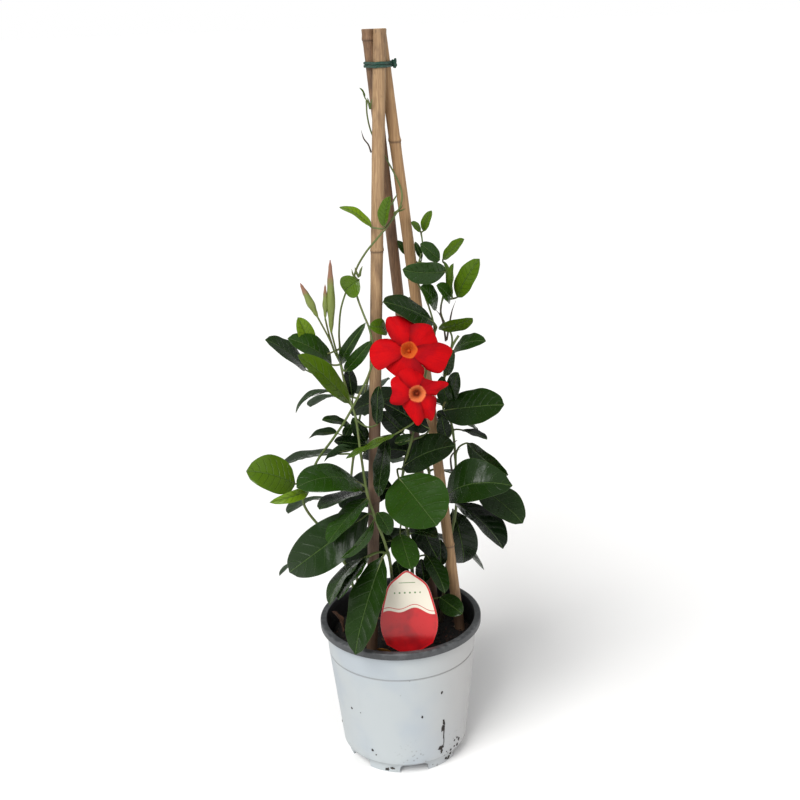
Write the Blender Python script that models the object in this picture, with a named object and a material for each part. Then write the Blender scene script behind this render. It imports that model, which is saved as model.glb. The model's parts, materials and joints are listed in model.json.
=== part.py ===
"""Mandevilla in flower, twining up three canes in a plastic nursery pot.

Origin at the middle of the pot's underside, +Z up, the label side at -Y. Every length
below is in millimetres and every angle in degrees; a mesh is written in metres.
"""
import math
import random
from typing import NamedTuple

import bmesh
import bpy
from mathutils import Matrix, Vector

MM = 0.001
GAP = 0.3

POT_HEIGHT = 154.8
RIM_RADIUS = 85.0
RIM_DROP = 7.1
RIM_INNER_RADIUS = 78.2
WALL = 1.6
NECK_RADIUS = 79.4
GROOVE_HEIGHT = 120.0
GROOVE_RADIUS = 77.6
GROOVE_DEPTH = 0.8
STEP_HEIGHT = 13.1
STEP_RADIUS = 66.6
FOOT_RADIUS = 61.7
FLOOR_UNDERSIDE = 10.3
FLOOR_TOP = 12.0
FOOT_WIDTH = 3.0
HUB_RADIUS = 18.0
ARCH_COUNT = 6
ARCH_WIDTH = 30.0
ARCH_HEIGHT = 9.4
ARCH_CORNER = 5.0
ARCH_REACH = 22.0
ARCH_TURN = 8.0
DRAIN_CIRCLE = 42.0
DRAIN_RADIUS = 4.5
DRAIN_SIDES = 6
POT_SIDES = 32

SOIL_TOP = 130.0
SOIL_CROWN = 2.0
SOIL_RADIUS = 75.2
HOLE_SIDES = 6
ROOT_DEPTH = 14.0
STRAIGHT_FOOT = 10.0

CANE_TOP = 746.0
CANE_SIDES = 10
CANE_NODE_SWELL = 0.7

TIE_HEIGHT = 715.0
TIE_WIDTH = 5.5
TIE_THICKNESS = 1.1
TIE_SLACK = 0.8
TIE_SIDES = 10

LEAF_THICKNESS = 0.9
PETIOLE_RADIUS = 1.1
STEM_SIDES = 5
STEM_STEP = 22.0
PETIOLE_SIDES = 3

PETAL_THICKNESS = 0.9
TUBE_LENGTH = 42.0
THROAT_RADIUS = 7.6
FUNNEL_SIDES = 10
BACK_SEED = 3
REAR_LEFT_SEED = 6


class Finish(NamedTuple):
    """Colour, roughness and metallic value of one material."""

    colour: tuple
    roughness: float
    metallic: float = 0.0


POT_GREY = Finish((0.55, 0.60, 0.63), 0.42)
SOIL_BROWN = Finish((0.035, 0.022, 0.014), 0.95)
CANE_TAN = Finish((0.30, 0.17, 0.075), 0.6)
TIE_GREEN = Finish((0.008, 0.06, 0.035), 0.5)
LABEL_CREAM = Finish((0.75, 0.71, 0.60), 0.35)
LEAF_GREEN = Finish((0.025, 0.085, 0.015), 0.32)
PETAL_RED = Finish((0.60, 0.004, 0.008), 0.5)
LEAF_YELLOW = Finish((0.52, 0.24, 0.02), 0.55)
LEAF_BROWN = Finish((0.16, 0.075, 0.03), 0.8)


class Cane(NamedTuple):
    """A straight cane: its foot height, its places at the soil line and top, and its rings."""

    name: str
    foot: float
    at_soil: tuple
    at_top: tuple
    radii: tuple
    rings: tuple


CANES = (
    Cane("cane_front", 50, (-31, -44), (2.5, -9), (5.6, 6.0), (300, 548)),
    Cane("cane_right", 94, (63, 6), (2.5, 3.5), (5.4, 5.4), (230, 448, 646)),
    Cane("cane_back", 62, (38, 42), (-8.5, -2), (4.4, 5.8), (260, 470, 737)),
)


class Leaf(NamedTuple):
    """One blade: its base, where it points, its size and how it is turned and bent.

    Heading is counter-clockwise from +X seen from above, rise is above the level, roll
    turns the blade about its length, arch lifts its middle as a share of its length, and
    fold lifts its two margins as a share of its half width.
    """

    base: tuple
    heading: float
    rise: float
    length: float
    width: float
    roll: float = 0.0
    arch: float = 0.09
    fold: float = 0.14


class Bud(NamedTuple):
    """A furled bud: the route of its stalk, its tip and its greatest radius."""

    stalk: tuple
    tip: tuple
    radius: float


class Vine(NamedTuple):
    """A leafy stem: its route above the soil, its radii at foot and tip, and its leaves."""

    name: str
    route: tuple
    foot_radius: float
    tip_radius: float
    leaves: tuple


LEFT_ROUTE = (
    (-40, -14), (-46, -20, 190), (-56, -30, 235), (-72, -38, 268), (-88, -36, 291), (-92, -30, 303),
    (-85, -28, 322), (-75, -34, 345), (-59, -44, 369), (-45, -52, 391), (-29, -56, 420),
    (-19, -57, 441), (-15, -53, 459), (-18, -46, 478), (-23, -40, 491), (-28, -34, 505),
    (-31, -30, 520), (-28, -30, 533), (-19, -33, 548), (-9, -36, 560), (1, -35, 571),
    (9, -27, 580), (16, -16, 590), (16, -7, 604), (4, -4, 630), (-8, -5, 652), (-12, -12, 670),
    (-12, -18, 684),
)
FRONT_ROUTE = (
    (-8, -22), (-7, -28, 190), (-8, -40, 232), (-12, -56, 262), (-20, -62, 292),
    (-27, -61, 318), (-32, -51, 358), (-35, -41, 387), (-39, -33, 400), (-45, -23, 419),
    (-48, -20, 438), (-48, -19, 453), (-48, -22, 469), (-45, -26, 493), (-39, -28, 511),
)
RIGHT_ROUTE = (
    (44, 22), (50, 21, 190), (57, 20, 235), (62, 12, 268), (62, 0, 300), (62, 3, 330),
    (60, 4, 357), (54, -3, 391), (53, 0, 416), (60, 0, 442), (61, 1, 457), (54, 1, 470),
    (51, 3, 482), (54, 6, 495), (59, 5, 511), (56, 6, 528),
)
CENTRE_ROUTE = (
    (16, -16), (15, -14, 190), (12, -13, 244), (5, -20, 293), (9, -23, 327), (18, -20, 357),
    (27, -15, 397), (38, -12, 437), (44, -12, 465), (37, -9, 496), (28, -10, 517),
    (31, -8, 532), (35, -3, 547), (34, 0, 560),
)

LEFT_LEAVES = (
    Leaf((-12, -32, 572), 170, 32, 35, 14, -19, 0.1, 0.14),
    Leaf((-26, -37, 524), 155, -37, 20, 23, -93, 0.15, 0.26),
    Leaf((-1, -37, 572), -30, 75, 30, 14, 75, 0.05, 0.4),
    Leaf((-99, -30, 319), -162, 25, 52, 43, -42, 0.09, 0.14),
    Leaf((-86, -28, 313), -138, -1, 48, 12, -73, 0.24, 0.28),
    Leaf((-13, -18, 687), -160, 60, 10, 5, -30),
)
FRONT_LEAVES = (
    Leaf((-78, -16, 452), -132, 70, 37, 19, -100, 0.1, 0.15),
    Leaf((-57, -14, 436), -150, 36, 56, 28, -50, 0.11, 0.18),
    Leaf((-83, -8, 430), -149, 43, 56, 30, -37, 0.07, 0.13),
    Leaf((-41, -32, 402), -155, 49, 75, 29, -45, 0.04, 0.16),
    Leaf((-48, -22, 439), -43, 53, 58, 11, 111, 0.19, 0.15),
    Leaf((-44, -26, 432), -48, 44, 55, 13, 123, 0.05, 0.11),
    Leaf((-60, -16, 410), -164, -26, 40, 26, 13, 0.14, 0.22),
    Leaf((-40, -21, 373), -131, 25, 44, 15, -32, 0.06, 0.14),
    Leaf((-55, -20, 367), -134, 9, 39, 14, 49, 0.1, 0.14),
    Leaf((-25, -36, 359), -167, 13, 34, 25, -15, 0.01, 0.06),
    Leaf((-39, -44, 358), -153, -9, 32, 22, 46, 0.13, 0.11),
    Leaf((-33, -44, 322), -150, 11, 70, 54, -13, 0.13, 0.0),
    Leaf((-34, -50, 317), -136, -1, 53, 35, 10, 0.04, 0.07),
    Leaf((-27, -58, 313), -135, -29, 61, 34, 12, 0.04, 0.13),
    Leaf((-27, -60, 297), -178, -37, 100, 45, -69, 0.18, 0.14),
    Leaf((-34, -58, 249), -130, -28, 60, 33, 28, 0.1, 0.1),
    Leaf((-29, -60, 251), -132, -30, 54, 30, 24, 0.02, 0.12),
    Leaf((-15, -62, 251), -131, -62, 99, 39, -5, 0.04, 0.14),
    Leaf((-15, -56, 387), -30, 86, 39, 19, 70, 0.0, 0.02),
    Leaf((-7, -50, 371), -123, -71, 57, 30, 25, 0.0, 0.01),
    Leaf((-18, -58, 297), -31, -58, 25, 23, 4, 0.04, 0.15),
    Leaf((-22, -64, 291), -139, -32, 49, 14, -98, 0.12, 0.17),
)
RIGHT_LEAVES = (
    Leaf((54, 4, 532), -31, 43, 32, 14, 58, 0.02, 0.13),
    Leaf((67, 0, 495), -40, 57, 49, 21, 86, 0.05, 0.13),
    Leaf((62, 0, 494), -70, 80, 36, 12, 100, 0.05, 0.3),
    Leaf((59, 5, 495), -155, 85, 35, 10, -65, 0.05, 0.3),
    Leaf((60, -5, 493), -125, 40, 30, 18, -75),
    Leaf((49, -10, 466), -35, 23, 40, 21, 141, 0.03, 0.08),
    Leaf((62, -8, 444), -47, 23, 46, 21, 42, 0.09, 0.11),
    Leaf((51, -12, 384), -37, 16, 72, 40, 49, 0.0, 0.0),
    Leaf((56, -4, 391), -66, 57, 41, 19, 107, 0.0, 0.02),
    Leaf((69, -4, 360), -56, 2, 41, 12, 5, 0.04, 0.14),
    Leaf((74, 2, 343), -32, -31, 53, 30, 109, 0.04, 0.15),
    Leaf((51, -26, 298), -20, 16, 70, 46, 45, 0.24, 0.4),
    Leaf((86, 0, 296), -39, -27, 59, 42, 12, 0.04, 0.1),
    Leaf((60, 35, 256), -4, -80, 63, 34, 77, 0.23, 0.24),
    Leaf((61, -10, 283), -47, -25, 71, 49, -16, 0.07, 0.22),
    Leaf((54, -6, 418), -43, 68, 29, 15, 81, 0.01, 0.08),
    Leaf((58, -2, 379), -141, 76, 40, 18, -160, 0.05, 0.19),
)
CENTRE_LEAVES = (
    Leaf((36, -2, 561), -48, 59, 24, 10, 98, 0.08, 0.13),
    Leaf((34, -2, 561), -154, 44, 14, 10, -52, 0.03, 0.1),
    Leaf((51, -12, 535), -149, 41, 28, 17, -70, 0.0, 0.09),
    Leaf((56, -16, 524), -156, 9, 45, 25, -112, 0.07, 0.1),
    Leaf((43, -23, 477), -150, 27, 61, 36, -34, 0.05, 0.02),
    Leaf((-2, -32, 473), -134, 21, 25, 17, -62, 0.13, 0.16),
    Leaf((2, -56, 377), -156, -15, 54, 24, 12, 0.0, 0.0),
    Leaf((-2, -10, 302), 168, -15, 62, 44, -35),
    Leaf((18, -2, 276), -48, -56, 56, 34, 77, 0.02, 0.09),
    Leaf((12, -6, 398), 165, -20, 60, 34, -30),
    Leaf((-4, -12, 245), 175, -20, 60, 42, -35),
    Leaf((16, -14, 342), 150, -10, 56, 40, -25),
    Leaf((8, -24, 330), -17, 27, 61, 44, 34, 0.09, 0.13),
    Leaf((4, -56, 332), -50, -33, 63, 63, 22, 0.0, 0.08),
    Leaf((15, -20, 257), -40, 5, 32, 24, -5),
    Leaf((3, -38, 264), -75, -32, 42, 29, -8, 0.0, 0.01),
    Leaf((29, -14, 228), -64, -32, 47, 24, -14, 0.05, 0.14),
    Leaf((42, -10, 177), -48, -12, 33, 22, 41, 0.0, 0.0),
    Leaf((36, -18, 367), -155, 37, 60, 28, -51, 0.0, 0.0),
    Leaf((47, -8, 487), -135, 50, 33, 23, -67, 0.08, 0.1),
)

BUDS = (
    Bud(((-48, -20, 438), (-53, -24, 451), (-57, -28, 465), (-67, -30, 488)), (-81, -34, 522), 3.6),
    Bud(((-53, -24, 451), (-57, -27, 468), (-60, -29, 486)), (-58, -34, 520), 2.4),
    Bud(((-48, -20, 438), (-52, -24, 455), (-55, -27, 472)), (-52, -34, 543), 4.1),
)


class Bloom(NamedTuple):
    """A flower: its throat's middle, where it faces, where its stalk joins, and its petals.

    A petal is an outline of (angle, reach) pairs, the angle counter-clockwise from the
    flower's right side as it is looked at.
    """

    name: str
    centre: tuple
    facing: tuple
    joins: tuple
    petals: tuple


BLOOMS = (
    Bloom("flower_upper", (18, -62, 461), (0.0, -0.93, 0.36), (40, -12, 444), (
        ((-50, 24), (-38, 36), (-16, 38), (-1, 40), (12, 24)),
        ((8, 23), (32, 29), (46, 31), (66, 27), (84, 24)),
        ((76, 26), (98, 32), (112, 35), (125, 35.5), (147, 18.5)),
        ((144, 20), (162, 32), (183, 37), (209, 34.5), (214, 23)),
        ((216, 24), (239, 27), (262, 31), (290, 30), (308, 22)),
    )),
    Bloom("flower_lower", (24, -86, 426), (0.05, -0.96, 0.25), (22, -17, 375), (
        ((-10, 17.5), (4, 21), (15, 30.5), (36, 19), (70, 15)),
        ((60, 16), (85, 20), (105, 25), (128, 26), (138, 20)),
        ((130, 23), (150, 27), (173, 23), (196, 26), (212, 18)),
        ((205, 17), (233, 19), (255, 24), (269, 29.5), (284, 22)),
        ((278, 23), (290, 25), (296, 28.5), (318, 22), (350, 17)),
    )),
)

BACK_ROUTE = ((22, 42), (14, 52, 175), (18, 62, 215), (32, 62, 255), (36, 50, 295), (26, 36, 330),
              (11, 34, 365), (7, 44, 400), (20, 46, 432), (28, 34, 462), (21, 20, 492))
REAR_LEFT_ROUTE = ((-40, 34), (-48, 42, 190), (-52, 46, 245), (-46, 46, 300), (-36, 38, 355),
                   (-24, 30, 405), (-12, 26, 450), (-6, 14, 490))

LABEL_FOOT = (8.0, -66.0, 108.0)
LABEL_TOP_Z = 229.0
LABEL_LEAN = 9.0
LABEL_THICKNESS = 0.9


def clear_scene():
    """Remove every object that the file starts with."""
    for thing in list(bpy.data.objects):
        bpy.data.objects.remove(thing)


def finish_material(name, finish):
    """Return a Principled material of one plain finish."""
    material = bpy.data.materials.new(name)
    material.use_nodes = True
    shader = material.node_tree.nodes["Principled BSDF"]
    shader.inputs["Base Color"].default_value = (*finish.colour, 1.0)
    shader.inputs["Roughness"].default_value = finish.roughness
    shader.inputs["Metallic"].default_value = finish.metallic
    return material


def put_object(name, shape):
    """Close a bmesh into a named object, its faces pointing out."""
    bmesh.ops.recalc_face_normals(shape, faces=shape.faces)
    mesh = bpy.data.meshes.new(name)
    shape.to_mesh(mesh)
    shape.free()
    thing = bpy.data.objects.new(name, mesh)
    bpy.context.collection.objects.link(thing)
    return thing


def dress(thing, finish, crease=40):
    """Give an object its material and smooth shading with sharp edges kept."""
    thing.data.materials.clear()
    thing.data.materials.append(finish_material(thing.name + "_finish", finish))
    thing.data.shade_smooth()
    thing.data.set_sharp_from_angle(angle=math.radians(crease))
    return thing


def turned(name, profile, sides):
    """Spin an open profile of (radius, height) pairs that starts and ends on the axis."""
    shape = bmesh.new()
    corners = [shape.verts.new((radius * MM, 0, height * MM)) for radius, height in profile]
    edges = [shape.edges.new(pair) for pair in zip(corners, corners[1:])]
    bmesh.ops.spin(shape, geom=corners + edges, axis=(0, 0, 1), cent=(0, 0, 0), steps=sides,
                   angle=math.tau, use_merge=True)
    bmesh.ops.remove_doubles(shape, verts=shape.verts, dist=0.00001)
    return put_object(name, shape)


def smooth_route(points, spacing):
    """Run a smooth curve through the points, with a step about every spacing."""
    spots = [Vector(point) for point in points]
    route = []
    for index in range(len(spots) - 1):
        before = spots[max(index - 1, 0)]
        start, end = spots[index], spots[index + 1]
        after = spots[min(index + 2, len(spots) - 1)]
        steps = max(1, round((end - start).length / spacing))
        for step in range(steps):
            t = step / steps
            route.append(0.5 * (2 * start + (end - before) * t
                                + (2 * before - 5 * start + 4 * end - after) * t * t
                                + (3 * start - before - 3 * end + after) * t ** 3))
    route.append(spots[-1])
    return route


def tube(name, route, radii, sides):
    """Sweep a closed round tube along a route, with a radius at each point."""
    shape = bmesh.new()
    rings = []
    side = Vector((1, 0, 0))
    for index, spot in enumerate(route):
        ahead = route[min(index + 1, len(route) - 1)] - route[max(index - 1, 0)]
        ahead.normalize()
        side = (side - ahead * side.dot(ahead)).normalized()
        other = ahead.cross(side)
        ring = []
        for turn in range(sides):
            angle = math.tau * turn / sides
            place = spot + radii[index] * (side * math.cos(angle) + other * math.sin(angle))
            ring.append(shape.verts.new(place * MM))
        rings.append(ring)
    for low, high in zip(rings, rings[1:]):
        for turn in range(sides):
            after = (turn + 1) % sides
            shape.faces.new((low[turn], low[after], high[after], high[turn]))
    shape.faces.new(rings[0])
    shape.faces.new(rings[-1])
    return put_object(name, shape)


def join_pieces(name, pieces):
    """Fuse overlapping closed pieces into one body and drop the pieces."""
    first, *others = pieces
    bag = bpy.data.collections.new(name + "_parts")
    for piece in others:
        bag.objects.link(piece)
    union = first.modifiers.new("union", "BOOLEAN")
    union.operation = "UNION"
    union.operand_type = "COLLECTION"
    union.collection = bag
    mesh = bpy.data.meshes.new_from_object(
        first.evaluated_get(bpy.context.evaluated_depsgraph_get()))
    for piece in pieces:
        bpy.data.objects.remove(piece)
    bpy.data.collections.remove(bag)
    shape = bmesh.new()
    shape.from_mesh(mesh)
    bpy.data.meshes.remove(mesh)
    drop_scraps(shape)
    return put_object(name, shape)


def drop_scraps(shape):
    """Keep only the largest connected body of a fused shape."""
    waiting = set(shape.verts)
    largest = set()
    while waiting:
        body = set()
        edge_of_body = [waiting.pop()]
        while edge_of_body:
            corner = edge_of_body.pop()
            body.add(corner)
            for edge in corner.link_edges:
                other = edge.other_vert(corner)
                if other in waiting:
                    waiting.remove(other)
                    edge_of_body.append(other)
        largest = max(largest, body, key=len)
    bmesh.ops.delete(shape, geom=[corner for corner in shape.verts if corner not in largest],
                     context="VERTS")


def cut(thing, cutters):
    """Take cutters out of an object and drop them."""
    bag = bpy.data.collections.new(thing.name + "_cutters")
    for cutter in cutters:
        bag.objects.link(cutter)
    difference = thing.modifiers.new("difference", "BOOLEAN")
    difference.operation = "DIFFERENCE"
    difference.operand_type = "COLLECTION"
    difference.collection = bag
    mesh = bpy.data.meshes.new_from_object(
        thing.evaluated_get(bpy.context.evaluated_depsgraph_get()))
    thing.modifiers.clear()
    thing.data = mesh
    for cutter in cutters:
        bpy.data.objects.remove(cutter)
    bpy.data.collections.remove(bag)
    return thing


def wall_radius(height):
    """Return the pot wall's outer radius at a height between the step and the neck."""
    if height < GROOVE_HEIGHT:
        share = (height - STEP_HEIGHT) / (GROOVE_HEIGHT - STEP_HEIGHT)
        return STEP_RADIUS + share * (GROOVE_RADIUS - STEP_RADIUS)
    neck = POT_HEIGHT - RIM_DROP
    share = (height - GROOVE_HEIGHT) / (neck - GROOVE_HEIGHT)
    return GROOVE_RADIUS + share * (NECK_RADIUS - GROOVE_RADIUS)


def make_pot():
    """Turn the pot, with its rolled rim, groove, nesting step and raised floor."""
    neck = POT_HEIGHT - RIM_DROP
    ring = FOOT_RADIUS - FOOT_WIDTH
    half_groove = 1.6
    outside = [
        (0, 0), (HUB_RADIUS, 0), (HUB_RADIUS, FLOOR_UNDERSIDE), (ring, FLOOR_UNDERSIDE), (ring, 0),
        (FOOT_RADIUS - 0.4, 0), (FOOT_RADIUS + 0.6, STEP_HEIGHT - 2.6),
        (STEP_RADIUS - 0.8, STEP_HEIGHT - 1), (STEP_RADIUS, STEP_HEIGHT),
        (wall_radius(GROOVE_HEIGHT - half_groove), GROOVE_HEIGHT - half_groove),
        (GROOVE_RADIUS - GROOVE_DEPTH, GROOVE_HEIGHT),
        (wall_radius(GROOVE_HEIGHT + half_groove), GROOVE_HEIGHT + half_groove),
        (NECK_RADIUS, neck), (RIM_RADIUS, neck), (RIM_RADIUS, POT_HEIGHT - 1.2),
        (RIM_RADIUS - 1.2, POT_HEIGHT), (RIM_INNER_RADIUS, POT_HEIGHT),
    ]
    inside = [
        (NECK_RADIUS - WALL, neck), (GROOVE_RADIUS - WALL - GROOVE_DEPTH / 2, GROOVE_HEIGHT),
        (STEP_RADIUS - WALL, STEP_HEIGHT + 2), (FOOT_RADIUS - WALL, FLOOR_TOP), (0, FLOOR_TOP),
    ]
    pot = turned("pot", outside + inside, POT_SIDES)
    return dress(cut(pot, foot_arches() + drain_holes()), POT_GREY)


def foot_arches():
    """Return the cutters of the arches in the foot ring."""
    arches = []
    for number in range(ARCH_COUNT):
        angle = math.tau * (number + 0.5) / ARCH_COUNT + math.radians(ARCH_TURN)
        shape = bmesh.new()
        bmesh.ops.create_cube(shape, size=1)
        size = (ARCH_REACH * MM, ARCH_WIDTH * MM, 2 * ARCH_HEIGHT * MM)
        bmesh.ops.scale(shape, vec=size, verts=shape.verts)
        upright = [edge for edge in shape.edges
                   if all(corner.co.z > 0 for corner in edge.verts)
                   and abs(edge.verts[0].co.x - edge.verts[1].co.x) > MM]
        bmesh.ops.bevel(shape, geom=upright, offset=ARCH_CORNER * MM, segments=2, profile=0.5,
                        affect="EDGES")
        bmesh.ops.translate(shape, vec=((FOOT_RADIUS + 1) * MM, 0, 0), verts=shape.verts)
        bmesh.ops.rotate(shape, cent=(0, 0, 0), matrix=Matrix.Rotation(angle, 3, "Z"), verts=shape.verts)
        arches.append(put_object(f"arch_{number}", shape))
    return arches


def drain_holes():
    """Return the cutters of the round holes in the raised floor."""
    holes = []
    for number in range(ARCH_COUNT):
        angle = math.tau * number / ARCH_COUNT
        spot = Vector((math.cos(angle), math.sin(angle), 0)) * DRAIN_CIRCLE
        reach = [spot + Vector((0, 0, height)) for height in (FLOOR_UNDERSIDE - 2, FLOOR_TOP + 2)]
        holes.append(tube(f"drain_{number}", reach, [DRAIN_RADIUS] * 2, DRAIN_SIDES))
    return holes


def cane_point(cane, height):
    """Return the cane's axis point at a height."""
    share = (height - SOIL_TOP) / (CANE_TOP - SOIL_TOP)
    spot = Vector(cane.at_soil).lerp(Vector(cane.at_top), share)
    return Vector((spot.x, spot.y, height))


def cane_radius(cane, height):
    """Return the cane's radius at a height, apart from its rings."""
    low, high = cane.radii
    return low + (high - low) * (height - cane.foot) / (CANE_TOP - cane.foot)


def make_cane(cane):
    """Sweep one cane with its swollen rings and chamfered ends."""
    stations = [(cane.foot, -1.0), (cane.foot + 2, 0)]
    for ring in cane.rings:
        stations += [(ring - 6, 0), (ring - 1.2, CANE_NODE_SWELL), (ring + 1.2, CANE_NODE_SWELL),
                     (ring + 5, 0)]
    stations = [station for station in stations if station[0] < CANE_TOP - 1]
    stations += [(CANE_TOP - 0.8, 0), (CANE_TOP, -0.8)]
    route = [cane_point(cane, height) for height, _ in stations]
    radii = [cane_radius(cane, height) + swell for height, swell in stations]
    return dress(tube(cane.name, route, radii, CANE_SIDES), CANE_TAN)


def hull_round_canes(name, extra, half_height):
    """Return the closed hull round the three canes near the tie, grown by an extra radius."""
    shape = bmesh.new()
    for cane in CANES:
        for height in (TIE_HEIGHT - half_height, TIE_HEIGHT + half_height):
            spot = cane_point(cane, height)
            for turn in range(TIE_SIDES):
                angle = math.tau * turn / TIE_SIDES
                out = Vector((math.cos(angle), math.sin(angle), 0)) * (cane_radius(cane, height) + extra)
                shape.verts.new((spot + out) * MM)
    hull = bmesh.ops.convex_hull(shape, input=shape.verts)
    spare = {item for item in hull["geom_interior"] + hull["geom_unused"]
             if isinstance(item, bmesh.types.BMVert)}
    bmesh.ops.delete(shape, geom=list(spare), context="VERTS")
    return put_object(name, shape)


def make_tie():
    """Wrap a flat band round the three canes, with its twisted knot at the right."""
    outer = hull_round_canes("band", TIE_SLACK + TIE_THICKNESS, TIE_WIDTH / 2)
    band = cut(outer, [hull_round_canes("band_inside", TIE_SLACK, TIE_WIDTH)])
    knot_at = Vector((13.0, 3.4, TIE_HEIGHT))
    twist = [knot_at + Vector(step) for step in ((-1, 0, 2.5), (1, -1, 1), (2.2, -2, -1), (1.5, -2.4, -4))]
    loop = [knot_at + Vector(step) for step in ((-0.6, 0, -2), (1.8, -0.6, 1), (2.6, -1.4, 4.5))]
    pieces = [band, tube("twist", twist, (1.4, 1.9, 1.4, 0.8), 6), tube("loop", loop, (1.3, 1.8, 0.9), 6)]
    return dress(join_pieces("cane_tie", pieces), TIE_GREEN)


def leaf_frame(leaf):
    """Return a leaf's length, side and upper directions."""
    heading, rise, roll = (math.radians(angle) for angle in (leaf.heading, leaf.rise, leaf.roll))
    along = Vector((math.cos(heading) * math.cos(rise), math.sin(heading) * math.cos(rise),
                    math.sin(rise)))
    level = Vector((math.cos(heading + math.pi / 2), math.sin(heading + math.pi / 2), 0))
    upper = along.cross(level)
    across = level * math.cos(roll) + upper * math.sin(roll)
    return along, across, along.cross(across)


def leaf_point(leaf, share, offset):
    """Return the point of a blade at a share of its length and a signed share of its half
    width."""
    along, across, upper = leaf_frame(leaf)
    half = 0.5 * leaf.width * blade_width(share)
    lift = leaf.arch * leaf.length * 4 * share * (1 - share) + leaf.fold * half * abs(offset)
    return Vector(leaf.base) + along * leaf.length * share + across * half * offset + upper * lift


def blade_width(share):
    """Return the blade's width at a share of its length, against its greatest width."""
    if not 0 < share < 1:
        return 0.05
    return math.sin(math.pi * share ** 0.96) ** 0.52


LONG_BLADE = (0, 0.09, 0.3, 0.6, 0.88, 1)
SHORT_BLADE = (0, 0.14, 0.45, 0.84, 1)
SHORT_BLADE_LIMIT = 64


def make_blade(name, leaf):
    """Build one thin arched leaf blade, both faces split into triangles alike."""
    upper = leaf_frame(leaf)[2] * (LEAF_THICKNESS / 2)
    shape = bmesh.new()
    faces = ([], [])
    stations = LONG_BLADE if leaf.length > SHORT_BLADE_LIMIT else SHORT_BLADE
    for share in stations:
        for sheet, sign in zip(faces, (1, -1)):
            sheet.append([shape.verts.new((leaf_point(leaf, share, offset) + sign * upper) * MM)
                          for offset in (-1, 0, 1)])
    for row in range(len(stations) - 1):
        for column in (0, 1):
            for sheet in faces:
                a, b = sheet[row][column], sheet[row][column + 1]
                c, d = sheet[row + 1][column + 1], sheet[row + 1][column]
                if column == 0:
                    shape.faces.new((a, b, d))
                    shape.faces.new((b, c, d))
                else:
                    shape.faces.new((a, b, c))
                    shape.faces.new((a, c, d))
    top, under = faces
    for row in range(len(stations) - 1):
        for column in (0, 2):
            shape.faces.new((top[row][column], top[row + 1][column], under[row + 1][column],
                             under[row][column]))
    for row in (0, -1):
        for column in (0, 1):
            shape.faces.new((top[row][column], top[row][column + 1], under[row][column + 1],
                             under[row][column]))
    return put_object(name, shape)


def stem_route(points):
    """Return a vine's smooth route, straight down into its hole in the soil."""
    x, y = points[0]
    foot = [(x, y, SOIL_TOP - ROOT_DEPTH), (x, y, SOIL_TOP + STRAIGHT_FOOT)]
    rise = smooth_route(foot[1:] + list(points[1:]), STEM_STEP)
    return [Vector(foot[0])] + rise


def make_petiole(name, leaf, route):
    """Sweep a leaf's stalk from the nearest place on its stem to the blade's midrib."""
    base = Vector(leaf.base)
    spot = min(route, key=lambda place: (place - base).length + 0.5 * abs(place.z + 6 - base.z))
    along = leaf_frame(leaf)[0]
    middle = spot.lerp(base, 0.55) - along * (0.18 * (base - spot).length)
    inside = leaf_point(leaf, 0, 0).lerp(leaf_point(leaf, SHORT_BLADE[1], 0), 0.3)
    return tube(name, [spot, middle, inside],
                (PETIOLE_RADIUS * 1.2, PETIOLE_RADIUS, PETIOLE_RADIUS * 0.5), PETIOLE_SIDES)


def make_bud(name, bud):
    """Sweep one furled bud on its stalk."""
    neck = Vector(bud.stalk[-1])
    tip = Vector(bud.tip)
    swell = ((0.12, 0.55), (0.4, 1), (0.68, 0.72), (1, 0.2))
    route = [Vector(spot) for spot in bud.stalk] + [neck.lerp(tip, share) for share, _ in swell]
    radii = [0.9] * len(bud.stalk) + [bud.radius * size for _, size in swell]
    return tube(name, route, radii, 6)


def make_calyx(name, bloom):
    """Sweep a flower's stalk up to the flat end of its green calyx."""
    back = -Vector(bloom.facing).normalized()
    seat = Vector(bloom.centre) + back * (TUBE_LENGTH + GAP)
    start = Vector(bloom.joins)
    route = [start, start.lerp(seat, 0.5) + Vector((0, 0, -4)), seat + back * 9, seat + back * 3.5, seat]
    return tube(name, route, (1.3, 1.2, 1.3, 2.9, 2.6), 6)


def make_vine(vine, extras=()):
    """Fuse a vine's stem, leaf stalks, blades and extras into one body."""
    route = stem_route(vine.route)
    last = len(route) - 1
    radii = [vine.foot_radius + (vine.tip_radius - vine.foot_radius) * index / last
             for index in range(len(route))]
    pieces = [tube("stem", route, radii, STEM_SIDES)]
    for number, leaf in enumerate(vine.leaves):
        pieces.append(make_petiole(f"petiole_{number}", leaf, route[2:]))
        pieces.append(make_blade(f"blade_{number}", leaf))
    pieces.extend(extras)
    return dress(join_pieces(vine.name, pieces), LEAF_GREEN)


def grown_leaves(points, heights, outward, seed):
    """Set pairs of leaves along a stem by rule, turned out of the plant."""
    draw = random.Random(seed)
    route = stem_route(points)
    leaves = []
    for number, height in enumerate(heights):
        spot = min(route, key=lambda place: abs(place.z - height))
        spread = 36 if number % 2 else 70
        for side in (-1, 1):
            heading = outward + side * (spread + draw.uniform(-8, 8))
            length = draw.uniform(62, 84)
            reach = Vector((math.cos(math.radians(heading)), math.sin(math.radians(heading)), 0.25))
            base = spot + reach * 13
            leaves.append(Leaf((base.x, base.y, base.z), heading, draw.uniform(-42, -6), length,
                               0.58 * length, side * draw.uniform(4, 24)))
    return tuple(leaves)


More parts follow.
